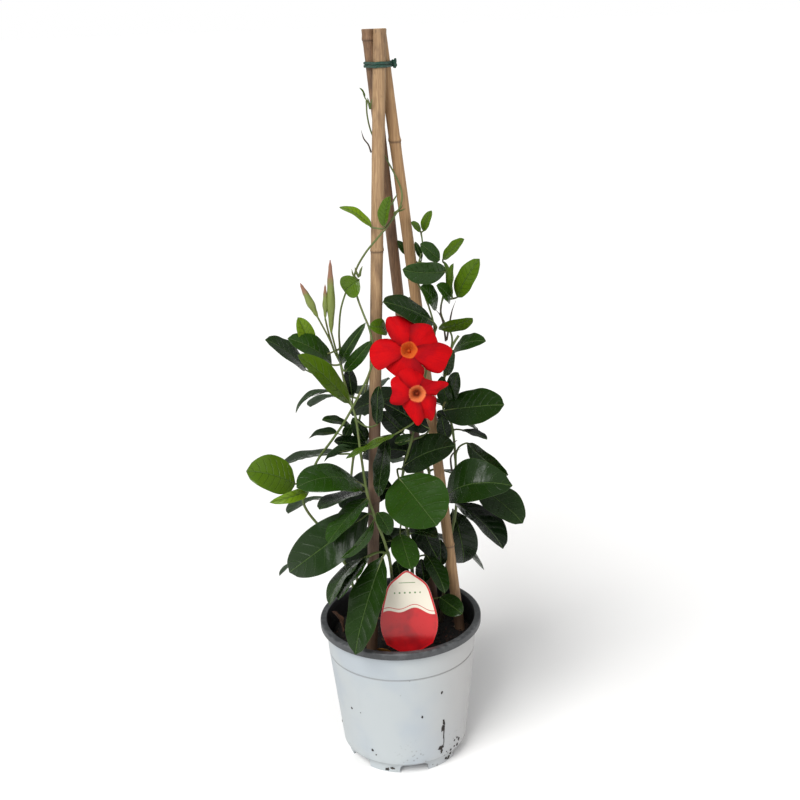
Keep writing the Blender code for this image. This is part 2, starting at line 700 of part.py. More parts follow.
def make_corolla(bloom):
    """Fuse a flower's funnel and its five overlapping pinwheel petals into one body."""
    outer = ((0, -1.0), (2.2, -1.0), (2.5, -0.7), (4.8, -0.42), (6.8, -0.18), (THROAT_RADIUS, 0.0))
    wall = PETAL_THICKNESS
    profile = [(radius, height * TUBE_LENGTH) for radius, height in outer]
    profile += [(THROAT_RADIUS + 0.8, 0.9), (THROAT_RADIUS - wall, 0.9)]
    profile += [(radius - wall, height * TUBE_LENGTH) for radius, height in reversed(outer[2:5])]
    profile += [(0, -0.72 * TUBE_LENGTH)]
    pieces = [turned("funnel", profile, FUNNEL_SIDES)]
    for number, outline in enumerate(bloom.petals):
        pieces.append(make_petal(f"petal_{number}", outline))
    corolla = join_pieces(bloom.name, pieces)
    facing = Vector(bloom.facing).normalized()
    sideways = Vector((0, 0, 1)).cross(facing).normalized()
    upward = facing.cross(sideways)
    turn = Matrix((sideways, upward, facing)).transposed().to_4x4()
    corolla.data.transform(Matrix.Translation(Vector(bloom.centre) * MM) @ turn)
    return dress(corolla, PETAL_RED)


PETAL_SHARES = (0.0, 0.36, 0.76, 1.0)
PETAL_BASE_SPREAD = 88.0


def petal_point(outline, column, share):
    """Return a petal's point, from its place in the ring round the throat to its outline."""
    last = len(outline) - 1
    turn, reach = outline[column]
    middle = (outline[0][0] + outline[-1][0]) / 2
    spread = column / last - 0.5
    base_turn = middle + PETAL_BASE_SPREAD * spread
    angle = math.radians(base_turn + (turn - base_turn) * min(1, share * 1.5))
    start = THROAT_RADIUS - 0.5
    away = start + (reach - start) * share
    cup = 1.2 + 4.0 * share - 7.0 * share ** 2.4
    return Vector((math.cos(angle) * away, math.sin(angle) * away, cup + 5.0 * spread * share))


def make_petal(name, outline):
    """Build one thin petal, both faces split into triangles alike."""
    lift = Vector((0, 0, PETAL_THICKNESS / 2))
    shape = bmesh.new()
    sheets = ([], [])
    columns = range(len(outline))
    for share in PETAL_SHARES:
        for sheet, sign in zip(sheets, (1, -1)):
            sheet.append([shape.verts.new((petal_point(outline, column, share) + sign * lift) * MM)
                          for column in columns])
    for row in range(len(PETAL_SHARES) - 1):
        for column in columns[:-1]:
            for sheet in sheets:
                a, b = sheet[row][column], sheet[row][column + 1]
                c, d = sheet[row + 1][column + 1], sheet[row + 1][column]
                shape.faces.new((a, b, c))
                shape.faces.new((a, c, d))
    top, under = sheets
    for row in range(len(PETAL_SHARES) - 1):
        for column in (0, -1):
            shape.faces.new((top[row][column], top[row + 1][column], under[row + 1][column],
                             under[row][column]))
    for row in (0, -1):
        for column in columns[:-1]:
            shape.faces.new((top[row][column], top[row][column + 1], under[row][column + 1],
                             under[row][column]))
    return put_object(name, shape)


def make_label():
    """Extrude the label card with its rounded head and its stake, leaning back in the soil."""
    height = LABEL_TOP_Z - LABEL_FOOT[2]
    half = (
        (3, 0), (6, 14), (7, 34), (24, 44), (29, 58), (29.5, 72), (25, 92), (20, 106), (10, 115), (0, height),
    )
    other_half = [(-across * 0.95, up) for across, up in reversed(half[:-1])]
    shape = bmesh.new()
    corners = [shape.verts.new((across * MM, 0, up * MM)) for across, up in list(half) + other_half]
    face = shape.faces.new(corners)
    raised = bmesh.ops.extrude_face_region(shape, geom=[face])
    moved = [item for item in raised["geom"] if isinstance(item, bmesh.types.BMVert)]
    bmesh.ops.translate(shape, vec=(0, LABEL_THICKNESS * MM, 0), verts=moved)
    label = put_object("label", shape)
    lean = Matrix.Rotation(math.radians(-LABEL_LEAN), 4, "X")
    label.data.transform(Matrix.Translation(Vector(LABEL_FOOT) * MM) @ lean)
    return dress(label, LABEL_CREAM)


def make_soil(vines):
    """Turn the plug of potting soil and open plain holes for all that stands in it."""
    wall = WALL + GAP
    lining = wall_radius(GROOVE_HEIGHT) - GROOVE_DEPTH / 2 - wall
    profile = [
        (0, FLOOR_TOP + GAP), (FOOT_RADIUS - wall, FLOOR_TOP + GAP), (STEP_RADIUS - wall, STEP_HEIGHT + 2.3),
        (lining, GROOVE_HEIGHT), (SOIL_RADIUS, SOIL_TOP - 0.5), (62, SOIL_TOP + 0.6), (44, SOIL_TOP - 0.4),
        (24, SOIL_TOP + SOIL_CROWN), (0, SOIL_TOP + SOIL_CROWN),
    ]
    soil = turned("soil", profile, POT_SIDES)
    holes = []
    for cane in CANES:
        reach = [cane_point(cane, cane.foot - GAP), cane_point(cane, SOIL_TOP + 12)]
        radius = cane_radius(cane, SOIL_TOP) + 3 * GAP
        holes.append(tube(cane.name + "_hole", reach, [radius] * 2, CANE_SIDES))
    for vine in vines:
        x, y = vine.route[0]
        reach = [Vector((x, y, SOIL_TOP - ROOT_DEPTH - GAP)), Vector((x, y, SOIL_TOP + 12))]
        holes.append(tube(vine.name + "_hole", reach, [vine.foot_radius + 2.5 * GAP] * 2, HOLE_SIDES))
    holes.append(label_slot())
    return dress(cut(soil, holes), SOIL_BROWN)


def label_slot():
    """Return the slot that the label's stake stands in."""
    shape = bmesh.new()
    bmesh.ops.create_cube(shape, size=1)
    bmesh.ops.scale(shape, vec=(16 * MM, (LABEL_THICKNESS + 3 * GAP) * MM, 52 * MM), verts=shape.verts)
    bmesh.ops.translate(shape, vec=(0, LABEL_THICKNESS * MM / 2, (26 - GAP) * MM), verts=shape.verts)
    slot = put_object("label_slot", shape)
    lean = Matrix.Rotation(math.radians(-LABEL_LEAN), 4, "X")
    slot.data.transform(Matrix.Translation(Vector(LABEL_FOOT) * MM) @ lean)
    return slot


FALLEN_LEAF = Leaf((-14, -56, 131.3), -110, 53, 31, 17, 0, 0.05, 0.1)
DRIED_LEAF = Leaf((-62, 6, 131.2), 172, 66, 27, 14, 10, 0.1, 0.35)


def main():
    """Build every piece of the plant, its supports and its pot."""
    clear_scene()
    vines = (
        Vine("vine_left", LEFT_ROUTE, 2.0, 0.9, LEFT_LEAVES),
        Vine("vine_front", FRONT_ROUTE, 2.2, 1.1, FRONT_LEAVES),
        Vine("vine_right", RIGHT_ROUTE, 2.2, 1.0, RIGHT_LEAVES),
        Vine("vine_centre", CENTRE_ROUTE, 2.2, 0.9, CENTRE_LEAVES),
        Vine("vine_back", BACK_ROUTE, 2.2, 1.0,
             grown_leaves(BACK_ROUTE, (205, 250, 296, 342, 390), 50, BACK_SEED)),
        Vine("vine_rear_left", REAR_LEFT_ROUTE, 2.2, 1.0,
             grown_leaves(REAR_LEFT_ROUTE, (215, 270, 325, 380), 112, REAR_LEFT_SEED)),
    )
    make_pot()
    make_soil(vines)
    for cane in CANES:
        make_cane(cane)
    make_tie()
    make_label()
    calyces = [make_calyx(bloom.name + "_stalk", bloom) for bloom in BLOOMS]
    buds = [make_bud(f"bud_{number}", bud) for number, bud in enumerate(BUDS)]
    extras = {"vine_centre": calyces, "vine_front": buds}
    for vine in vines:
        make_vine(vine, extras.get(vine.name, ()))
    for bloom in BLOOMS:
        make_corolla(bloom)
    dress(make_blade("fallen_leaf", FALLEN_LEAF), LEAF_YELLOW)
    dress(make_blade("dried_leaf", DRIED_LEAF), LEAF_BROWN)


main()
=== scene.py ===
"""Looks of a mandevilla in flower, twining up three canes in a nursery pot.

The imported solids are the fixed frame: each piece made here lies where its solid lies and
stands for it. Lengths are in millimetres and angles in degrees, and meshes are written in
metres.
"""
import json
import logging
import math
import random
from dataclasses import dataclass, field
from enum import Enum
from typing import Any, Callable, Sequence, Union

import bmesh
import bpy
from mathutils import Matrix, Vector, noise

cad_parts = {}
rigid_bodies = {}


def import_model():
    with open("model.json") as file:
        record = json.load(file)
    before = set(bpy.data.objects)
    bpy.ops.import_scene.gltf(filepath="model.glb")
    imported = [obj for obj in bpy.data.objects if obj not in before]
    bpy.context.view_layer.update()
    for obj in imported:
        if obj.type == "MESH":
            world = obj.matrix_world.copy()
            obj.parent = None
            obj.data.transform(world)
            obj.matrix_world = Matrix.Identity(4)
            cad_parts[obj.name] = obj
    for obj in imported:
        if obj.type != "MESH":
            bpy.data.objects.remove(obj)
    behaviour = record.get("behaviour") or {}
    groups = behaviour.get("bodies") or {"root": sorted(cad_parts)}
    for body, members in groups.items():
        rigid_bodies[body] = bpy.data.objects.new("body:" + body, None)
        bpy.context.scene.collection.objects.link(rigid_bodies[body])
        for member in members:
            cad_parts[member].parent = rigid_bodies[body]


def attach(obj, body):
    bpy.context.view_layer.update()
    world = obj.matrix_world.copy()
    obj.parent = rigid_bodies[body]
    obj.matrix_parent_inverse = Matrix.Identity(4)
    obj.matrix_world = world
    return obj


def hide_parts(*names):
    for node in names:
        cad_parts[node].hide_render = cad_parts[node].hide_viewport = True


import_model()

Point = tuple[float, ...]
Colour = tuple[float, float, float]

MM = 0.001
BODY = "root"
LOG = logging.getLogger("mandevilla")

PLACE = "place"
TONE = "tone"


def smooth_step(value: float, low: float, high: float) -> float:
    """Return 0 below low, 1 above high and an S-shaped rise between."""
    share = min(1.0, max(0.0, (value - low) / (high - low)))
    return share * share * (3 - 2 * share)


def smooth_route(points: Sequence[Point], spacing: float) -> list[Vector]:
    """Run a smooth curve through points.

    Args:
        points: The places that the curve passes through.
        spacing: The length of a step along it.

    Returns:
        The curve's places in order.
    """
    spots = [Vector(point) for point in points]
    route = []
    for index in range(len(spots) - 1):
        before = spots[max(index - 1, 0)]
        start, end = spots[index], spots[index + 1]
        after = spots[min(index + 2, len(spots) - 1)]
        steps = max(1, round((end - start).length / spacing))
        for step in range(steps):
            t = step / steps
            route.append(0.5 * (2 * start + (end - before) * t
                                + (2 * before - 5 * start + 4 * end - after) * t * t
                                + (3 * start - before - 3 * end + after) * t ** 3))
    route.append(spots[-1])
    return route


def read_curve(keys: Sequence[Point], value: float) -> float:
    """Read a smooth curve through (value, height) keys.

    Args:
        keys: The curve's keys in rising order.
        value: Where to read it.

    Returns:
        The curve's height there.
    """
    if value <= keys[0][0]:
        return keys[0][1]
    for (low, start), (high, end) in zip(keys, keys[1:]):
        if value <= high:
            return start + (end - start) * smooth_step(value, low, high)
    return keys[-1][1]


def tapered(size: float, keys: Sequence[Point], count: int) -> list[float]:
    """Return a size times a curve through keys, read at count even shares."""
    return [size * read_curve(keys, index / (count - 1)) for index in range(count)]


def polar(radius: float, angle: float, height: float = 0.0) -> Vector:
    """Return the place at a radius, an angle in radians and a height."""
    return Vector((radius * math.cos(angle), radius * math.sin(angle), height))


def turns(sides: int) -> list[float]:
    """Return the angles, in radians, of even sides round a ring."""
    return [math.tau * side / sides for side in range(sides)]


@dataclass
class Draft:
    """Corners, faces and corner values gathered before one mesh is made."""

    corners: list[Vector] = field(default_factory=list)
    faces: list[tuple[int, ...]] = field(default_factory=list)
    finishes: list[int] = field(default_factory=list)
    places: list[Point] = field(default_factory=list)
    tones: list[Point] = field(default_factory=list)

    def corner(self, spot: Vector, place: Point = (0, 0, 0), tone: Point = (0, 0, 0)) -> int:
        """Add a corner.

        Args:
            spot: Where it is.
            place: Its place on its own piece, for the finish.
            tone: Its piece's age and chance numbers, for the finish.

        Returns:
            The corner's number.
        """
        self.corners.append(spot)
        self.places.append(place)
        self.tones.append(tone)
        return len(self.corners) - 1

    def face(self, corners: Sequence[int], finish: int = 0) -> None:
        """Add a face of the given finish number."""
        self.faces.append(tuple(corners))
        self.finishes.append(finish)

    def skin(self, rows: Sequence[Sequence[int]], closed: bool = False, finish: int = 0) -> None:
        """Join rows of corners with quads.

        Args:
            rows: The corners of each row, all rows of one length.
            closed: Whether each row runs round to its start.
            finish: The finish number of the faces.
        """
        for low, high in zip(rows, rows[1:]):
            count = len(low)
            for turn in range(count if closed else count - 1):
                after = (turn + 1) % count
                self.face((low[turn], low[after], high[after], high[turn]), finish)

    def solid(self, rows: Sequence[Sequence[int]]) -> None:
        """Join closed rows of corners and close both ends.

        Args:
            rows: The corners of each row, all rows of one length.
        """
        self.skin(rows, closed=True)
        self.face(rows[0])
        self.face(rows[-1])

    def slab(self, top: Sequence[Sequence[int]], below: Sequence[Sequence[int]]) -> None:
        """Join the two faces of a thin sheet, row by row, and their four margins.

        Args:
            top: The rows of corners of the upper face.
            below: Those of the lower face, in the same order.
        """
        self.skin(top)
        self.skin(below)
        for column in (0, -1):
            self.skin([[row[column] for row in top], [row[column] for row in below]])
        for row in (0, -1):
            self.skin([top[row], below[row]])

    def cast(self, name: str, crease: float = 180) -> bpy.types.Object:
        """Make the mesh and its object.

        Args:
            name: The object's name.
            crease: The angle above which an edge stays sharp.

        Returns:
            The new object.
        """
        mesh = bpy.data.meshes.new(name)
        mesh.from_pydata([spot * MM for spot in self.corners], [], self.faces)
        mesh.polygons.foreach_set("material_index", self.finishes)
        shape = bmesh.new()
        shape.from_mesh(mesh)
        bmesh.ops.recalc_face_normals(shape, faces=shape.faces)
        shape.to_mesh(mesh)
        shape.free()
        for title, values in ((PLACE, self.places), (TONE, self.tones)):
            layer = mesh.attributes.new(title, "FLOAT_VECTOR", "POINT")
            layer.data.foreach_set("vector", [number for value in values for number in value])
        mesh.shade_smooth()
        if crease < 180:
            mesh.set_sharp_from_angle(angle=math.radians(crease))
        thing = bpy.data.objects.new(name, mesh)
        bpy.context.scene.collection.objects.link(thing)
        return thing

    def piece(self, name: str, material: bpy.types.Material, slot: str, *nodes: str,
              crease: float = 180) -> bpy.types.Object:
        """Make the mesh as a finished piece.

        Args:
            name: The piece's name.
            material: Its finish.
            slot: The record's material slot.
            nodes: The solids that it stands for.
            crease: The angle above which an edge stays sharp.

        Returns:
            The piece.
        """
        made = self.cast(name, crease)
        made.data.materials.append(material)
        return settle(made, slot, *nodes)


def sweep(draft: Draft, route: Sequence[Vector], radii: Sequence[float], sides: int,
          tone: Point = (0, 0, 0), shape: Callable[[float, int], float] | None = None) -> None:
    """Sweep a closed round tube along a route into a draft.

    Args:
        draft: Where the corners and faces go.
        route: The tube's middle line.
        radii: A radius for each place of the route.
        sides: How many sides the tube has.
        tone: The tone of all its corners.
        shape: Returns a radius factor for an angle and a station's number.
    """
    rings = []
    side = Vector((1, 0, 0))
    gone = 0.0
    for index, spot in enumerate(route):
        ahead = route[min(index + 1, len(route) - 1)] - route[max(index - 1, 0)]
        ahead.normalize()
        side = (side - ahead * side.dot(ahead)).normalized()
        other = ahead.cross(side)
        if index:
            gone += (spot - route[index - 1]).length
        ring = []
        for angle in turns(sides):
            radius = radii[index] * (shape(angle, index) if shape else 1)
            out = side * math.cos(angle) + other * math.sin(angle)
            place = (angle / math.tau, gone, index / (len(route) - 1))
            ring.append(draft.corner(spot + out * radius, place, tone))
        rings.append(ring)
    draft.solid(rings)


class Wire:
    """A node's output that takes part in sums, so that shader maths reads as arithmetic."""

    def __init__(self, sheet: "Sheet", socket: bpy.types.NodeSocket) -> None:
        """Keep the socket and the sheet that its node is on."""
        self.sheet = sheet
        self.socket = socket

    def output(self, name: str) -> "Wire":
        """Return another output of the same node."""
        return Wire(self.sheet, self.socket.node.outputs[name])

    def __add__(self, other: "Value") -> "Wire":
        """Return the sum."""
        return self.sheet.maths("ADD", self, other)

    def __radd__(self, other: "Value") -> "Wire":
        """Return the sum."""
        return self.sheet.maths("ADD", other, self)

    def __sub__(self, other: "Value") -> "Wire":
        """Return the difference."""
        return self.sheet.maths("SUBTRACT", self, other)

    def __rsub__(self, other: "Value") -> "Wire":
        """Return the difference, this one taken away."""
        return self.sheet.maths("SUBTRACT", other, self)

    def __mul__(self, other: "Value") -> "Wire":
        """Return the product."""
        return self.sheet.maths("MULTIPLY", self, other)

    def __rmul__(self, other: "Value") -> "Wire":
        """Return the product."""
        return self.sheet.maths("MULTIPLY", other, self)

    def __pow__(self, other: "Value") -> "Wire":
        """Return this raised to a power."""
        return self.sheet.maths("POWER", self, other)

    def __abs__(self) -> "Wire":
        """Return the size without its sign."""
        return self.sheet.maths("ABSOLUTE", self)


Value = Union[Wire, float]


class Ground(Enum):
    """What a sheet's nodes belong to, with the name of the shader that it starts with."""

    MATERIAL = "Principled BSDF"
    WORLD = "Background"


class Sheet:
    """The nodes of one material or world, and the shader that it starts with."""

    def __init__(self, name: str, ground: Ground = Ground.MATERIAL) -> None:
        """Make the material or the world.

        Args:
            name: Its name.
            ground: Which of the two it is.
        """
        kinds = bpy.data.worlds if ground is Ground.WORLD else bpy.data.materials
        self.owner = kinds.new(name)
        self.owner.use_nodes = True
        self.tree = self.owner.node_tree
        self.shader = self.tree.nodes[ground.value]

    def node(self, kind: str, settings: dict[str, Any] | None = None,
             values: dict[Union[str, int], Any] | None = None, output: Union[str, int] = 0) -> Wire:
        """Add a node.

        Args:
            kind: The node's type.
            settings: Its properties, which are set first.
            values: A number, colour or wire for each named or numbered input.
            output: The output to return.

        Returns:
            The wire from that output.
        """
        made = self.tree.nodes.new(kind)
        for name, setting in (settings or {}).items():
            setattr(made, name, setting)
        for name, value in (values or {}).items():
            self.feed(made.inputs[name], value)
        return Wire(self, made.outputs[output])

    def feed(self, socket: bpy.types.NodeSocket, value: Any) -> None:
        """Link a wire to an input, or set the input's own value.

        Args:
            socket: The input.
            value: A wire, or a number, vector or colour to set.
        """
        if isinstance(value, Wire):
            self.tree.links.new(value.socket, socket)
        elif isinstance(value, tuple) and socket.type == "RGBA":
            socket.default_value = (*value, 1)
        else:
            socket.default_value = value

    def maths(self, operation: str, *values: Value) -> Wire:
        """Add a Math node for one operation on values."""
        return self.node("ShaderNodeMath", {"operation": operation}, dict(enumerate(values)))

    def vectors(self, operation: str, *values: Any) -> Wire:
        """Add a Vector Math node for one operation on vectors."""
        return self.node("ShaderNodeVectorMath", {"operation": operation}, dict(enumerate(values)))

    def mix(self, factor: Value, first: Any, second: Any) -> Wire:
        """Mix two colours, the factor being the share of the second."""
        return self.node("ShaderNodeMix", {"data_type": "RGBA"}, {0: factor, 6: first, 7: second}, 2)

    def step(self, value: Value, low: float, high: float) -> Wire:
        """Return an S-shaped rise from 0 to 1 between low and high, which may be turned round.

        Args:
            value: What the rise is read at.
            low: Where the rise starts.
            high: Where it ends; below low for a fall.

        Returns:
            The wire of the rise.
        """
        flip = low > high
        rise = self.node("ShaderNodeMapRange", {"interpolation_type": "SMOOTHSTEP"},
                         {"Value": value, "From Min": min(low, high), "From Max": max(low, high)})
        return 1 - rise if flip else rise

    def where(self) -> Wire:
        """Return the place on the object, in metres."""
        return self.node("ShaderNodeTexCoord", output="Object")

    def attribute(self, name: str) -> Wire:
        """Return a named vector that the mesh carries, split into X, Y and Z."""
        vector = self.node("ShaderNodeAttribute", {"attribute_name": name}, output="Vector")
        return self.node("ShaderNodeSeparateXYZ", values={0: vector})

    def grain(self, scale: float, detail: float = 2, rough: float = 0.5, at: Wire | None = None) -> Wire:
        """Return a noise.

        Args:
            scale: Its patches to the metre.
            detail: Its number of finer layers.
            rough: How strong those are.
            at: The coordinates it is read at, or none for the object's own.

        Returns:
            The noise, about 0.5 on average.
        """
        values = {"Vector": at or self.where(), "Scale": scale, "Detail": detail, "Roughness": rough}
        return self.node("ShaderNodeTexNoise", values=values)

    def cells(self, scale: float, feature: str = "F1", at: Wire | None = None) -> Wire:
        """Return the distance of a cell pattern with so many cells to the metre."""
        return self.node("ShaderNodeTexVoronoi", {"feature": feature},
                         {"Vector": at or self.where(), "Scale": scale}, "Distance")

    def stretched(self, x: float, y: float, z: float) -> Wire:
        """Return the object's coordinates scaled along each axis."""
        return self.vectors("MULTIPLY", self.where(), (x, y, z))

    def bump(self, height: Wire, distance: float, strength: float) -> None:
        """Feed the shader's normal from a height, in metres at 1.

        Args:
            height: The height that the relief follows.
            distance: The depth of the relief, in metres.
            strength: The share of it that shows.
        """
        self.feed(self.shader.inputs["Normal"], self.node(
            "ShaderNodeBump", values={"Strength": strength, "Distance": distance, "Height": height},
            output="Normal"))

    def finish(self, **values: Any) -> Union[bpy.types.Material, bpy.types.World]:
        """Set the shader's inputs by name, an underscore for each space, and return the owner.

        Args:
            values: A wire, number or colour for each input.

        Returns:
            The material or the world.
        """
        for name, value in values.items():
            self.feed(self.shader.inputs[name.replace("_", " ")], value)
        return self.owner


def settle(piece: bpy.types.Object, slot: str, *nodes: str) -> bpy.types.Object:
    """Let a piece ride on the body and stand for its solids.

    Args:
        piece: The piece.
        slot: The record's material slot; not used.
        nodes: The solids that it stands for.

    Returns:
        The piece.
    """
    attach(piece, BODY)
    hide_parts(*nodes)
    LOG.info("%s stands for %s", piece.name, ", ".join(nodes))
    return piece


@dataclass(frozen=True)
class PotFinish:
    """Moulded pale plastic with a faint cloud, painted shade in its groove and at its step, a painted
    warm reflection on its right side, dirt specks and a little dust.
    """

    base: Colour = (0.43, 0.465, 0.48)
    cool: Colour = (0.38, 0.425, 0.47)
    # A painted warm reflection, for the right side of the pot.
    warm_reflection: Colour = (0.45, 0.445, 0.44)
    # The colour of both the dirt and the painted shade in the groove and at the step.
    grime_and_shade: Colour = (0.14, 0.135, 0.13)
    groove: float = 0.120
    step: float = 0.0131

    def make(self) -> bpy.types.Material:
        """Return the outer wall's material.

        Returns:
            The material.
        """
        sheet = Sheet("pot_wall")
        where = sheet.node("ShaderNodeSeparateXYZ", values={0: sheet.where()})
        height = where.output("Z")
        cloud = sheet.grain(14, 3)
        streak = sheet.grain(60, 3, at=sheet.stretched(1, 1, 0.08))
        colour = sheet.mix(sheet.step(cloud, 0.45, 0.62) * 0.7, self.base, self.cool)
        # Painted reflection: the pot's right side is tinted warm.
        colour = sheet.mix(sheet.step(where.output("X"), 0.005, 0.07) * 0.9, colour, self.warm_reflection)
        speck = sheet.step(sheet.cells(62), 0.07, 0.03) * sheet.step(sheet.grain(35), 0.55, 0.62)
        # Painted shade: dark lines in the groove and at the step, where shade falls.
        groove_shade = sheet.step(abs(height - self.groove), 0.0014, 0.0005)
        step_shade = sheet.step(abs(height - self.step), 0.0009, 0.0003)
        dust = sheet.step(height, 0.03, 0.0) * sheet.step(sheet.grain(90, 4), 0.45, 0.7)
        spray = sheet.step(sheet.cells(230), 0.30, 0.16) * sheet.step(height, 0.055, 0.0)
        right = sheet.step(where.output("X"), -0.04, 0.03)
        spray = spray * right * sheet.step(sheet.grain(50), 0.42, 0.52)
        # Dirt specks, spray, dust and streaks, together with the painted shade of the groove and the
        # step.
        dirt_and_shade = (spray * 0.85 + speck * 0.5 + groove_shade * 0.5 + step_shade * 0.3 + dust * 0.2
                + sheet.step(streak, 0.6, 0.75) * 0.05)
        colour = sheet.mix(dirt_and_shade, colour, self.grime_and_shade)
        sheet.bump(sheet.grain(900, 2) * 0.4 + streak, 0.0001, 0.5)
        return sheet.finish(Base_Color=colour, Roughness=0.40 + cloud * 0.14 + speck * 0.3,
                            Coat_Weight=0.04)


@dataclass(frozen=True)
class RimFinish:
    """Dark plastic of the rim and the inside, scuffed paler on its edges."""

    base: Colour = (0.045, 0.048, 0.052)
    scuff: Colour = (0.13, 0.135, 0.14)
    inside: Colour = (0.010, 0.010, 0.011)

    def make(self) -> bpy.types.Material:
        """Return the rim's material.

        Returns:
            The material.
        """
        sheet = Sheet("pot_rim")
        where = sheet.where()
        split = sheet.node("ShaderNodeSeparateXYZ", values={0: where})
        radius = sheet.vectors("LENGTH", sheet.vectors("MULTIPLY", where, (1, 1, 0))).output("Value")
        outer = sheet.step(radius, 0.0775, 0.0790)
        wear = sheet.step(sheet.grain(160, 5, 0.65), 0.42, 0.72)
        crown = sheet.step(split.output("Z"), 0.1525, 0.1548)
        colour = sheet.mix(wear * (0.35 + 0.45 * crown), self.base, self.scuff)
        colour = sheet.mix(outer, self.inside, colour)
        sheet.bump(sheet.grain(1400, 3), 0.00012, 0.6)
        return sheet.finish(Base_Color=colour, Roughness=0.42 + wear * 0.22)


@dataclass
class Pot:
    """The round nursery pot: rolled rim, groove, stepped foot and drainage arches."""

    height: float = 154.8
    rim_radius: float = 85.0
    rim_drop: float = 7.1
    rim_inner: float = 78.2
    wall: float = 1.6
    neck: float = 79.4
    groove_height: float = 120.0
    groove_radius: float = 77.6
    groove_depth: float = 0.8
    step_height: float = 13.1
    step_radius: float = 66.6
    foot: float = 61.7
    floor: tuple[float, float] = (10.3, 12.0)
    foot_width: float = 3.0
    hub: float = 18.0
    openings: int = 6
    arch_width: float = 30.0
    arch_height: float = 9.4
    arch_corner: float = 5.0
    arch_reach: float = 22.0
    arch_turn: float = 8.0
    drain_circle: float = 42.0
    drain_radius: float = 4.5
    sides: int = 160
    bend_sides: int = 8
    crease: float = 42.0

    def wall_at(self, height: float) -> float:
        """Return the wall's outer radius at a height above the step.

        Args:
            height: The height.

        Returns:
            The radius there.
        """
        if height < self.groove_height:
            share = (height - self.step_height) / (self.groove_height - self.step_height)
            return self.step_radius + share * (self.groove_radius - self.step_radius)
        neck = self.height - self.rim_drop
        share = (height - self.groove_height) / (neck - self.groove_height)
        return self.groove_radius + share * (self.neck - self.groove_radius)

    def outside(self) -> list[Point]:
        """Return the outer profile up to the rim's underside, as (radius, height) pairs.

        Returns:
            The pairs, from the middle of the underside outwards and up.
        """
        under, _ = self.floor
        ring = self.foot - self.foot_width
        rows: list[Point] = [(0, 0), (self.hub, 0), (self.hub, under), (ring, under), (ring, 0),
                             (self.foot - 0.6, 0), (self.foot - 0.1, 0.4),
                             (self.foot + 0.3, 5), (self.foot + 0.6, self.step_height - 2.8),
                             (self.foot + 1.4, self.step_height - 1.9),
                             (self.step_radius - 1.3, self.step_height - 1.3),
                             (self.step_radius - 0.4, self.step_height - 0.8),
                             (self.step_radius, self.step_height)]
        rows += [(self.wall_at(height), height) for height in (20, 40, 60, 80, 100, 114)]
        for lift in (-1.7, -1.1, -0.5, 0, 0.5, 1.1, 1.7):
            dip = self.groove_depth * math.exp(-(lift / 0.7) ** 2)
            height = self.groove_height + lift
            rows.append((self.wall_at(height) - dip, height))
        rows += [(self.wall_at(height), height) for height in (126, 136, 144)]
        rows.append((self.neck, self.height - self.rim_drop))
        return rows

    def rim(self) -> list[Point]:
        """Return the profile over the rim and down the inside.

        Returns:
            The (radius, height) pairs, from the rim to the middle of the raised floor.
        """
        low = self.height - self.rim_drop
        rows: list[Point] = [(self.rim_radius - 0.6, low), (self.rim_radius - 0.1, low + 0.4)]
        for turn in range(0, 91, 15):
            out, up = math.cos(math.radians(turn)), math.sin(math.radians(turn))
            rows.append((self.rim_radius - 1.6 + 1.6 * out, self.height - 1.6 + 1.6 * up))
        rows += [(self.rim_inner + 1.2, self.height), (self.rim_inner + 0.3, self.height - 0.4),
                 (self.rim_inner, self.height - 1.2), (self.neck - self.wall, low),
                 (self.groove_radius - self.wall - self.groove_depth / 2, self.groove_height),
                 (self.step_radius - self.wall, self.step_height + 2),
                 (self.foot - self.wall, self.floor[1]), (0, self.floor[1])]
        return rows

    @staticmethod
    def prism(name: str, ends: Sequence[Sequence[Vector]]) -> bpy.types.Object:
        """Return the closed solid between two like outlines.

        Args:
            name: Its name.
            ends: The two outlines.

        Returns:
            The solid.
        """
        draft = Draft()
        draft.solid([[draft.corner(spot) for spot in end] for end in ends])
        return draft.cast(name)

    def arch(self, number: int) -> bpy.types.Object:
        """Return the cutter of one arch in the foot ring.

        Args:
            number: Which arch, counted round the foot.

        Returns:
            The cutter.
        """
        half, corner = self.arch_width / 2, self.arch_corner
        outline: list[Point] = [(-half, -self.arch_height), (half, -self.arch_height)]
        for middle, first in ((half - corner, 0), (corner - half, 90)):
            for turn in range(self.bend_sides + 1):
                angle = math.radians(first + 90 * turn / self.bend_sides)
                outline.append((middle + corner * math.cos(angle),
                                self.arch_height - corner + corner * math.sin(angle)))
        turn_by = math.tau * (number + 0.5) / self.openings + math.radians(self.arch_turn)
        turned = Matrix.Rotation(turn_by, 3, "Z")
        reach = self.arch_reach / 2
        return self.prism(f"arch_{number}", [[turned @ Vector((self.foot + 1 + out, across, up))
                                              for across, up in outline] for out in (-reach, reach)])

    def drain(self, number: int) -> bpy.types.Object:
        """Return the cutter of one round hole in the raised floor.

        Args:
            number: Which hole, counted round the floor.

        Returns:
            The cutter.
        """
        middle = polar(self.drain_circle, math.tau * number / self.openings)
        under, top = self.floor
        return self.prism(f"drain_{number}", [
            [middle + polar(self.drain_radius, angle, height) for angle in turns(4 * self.bend_sides)]
            for height in (under - 2, top + 2)])

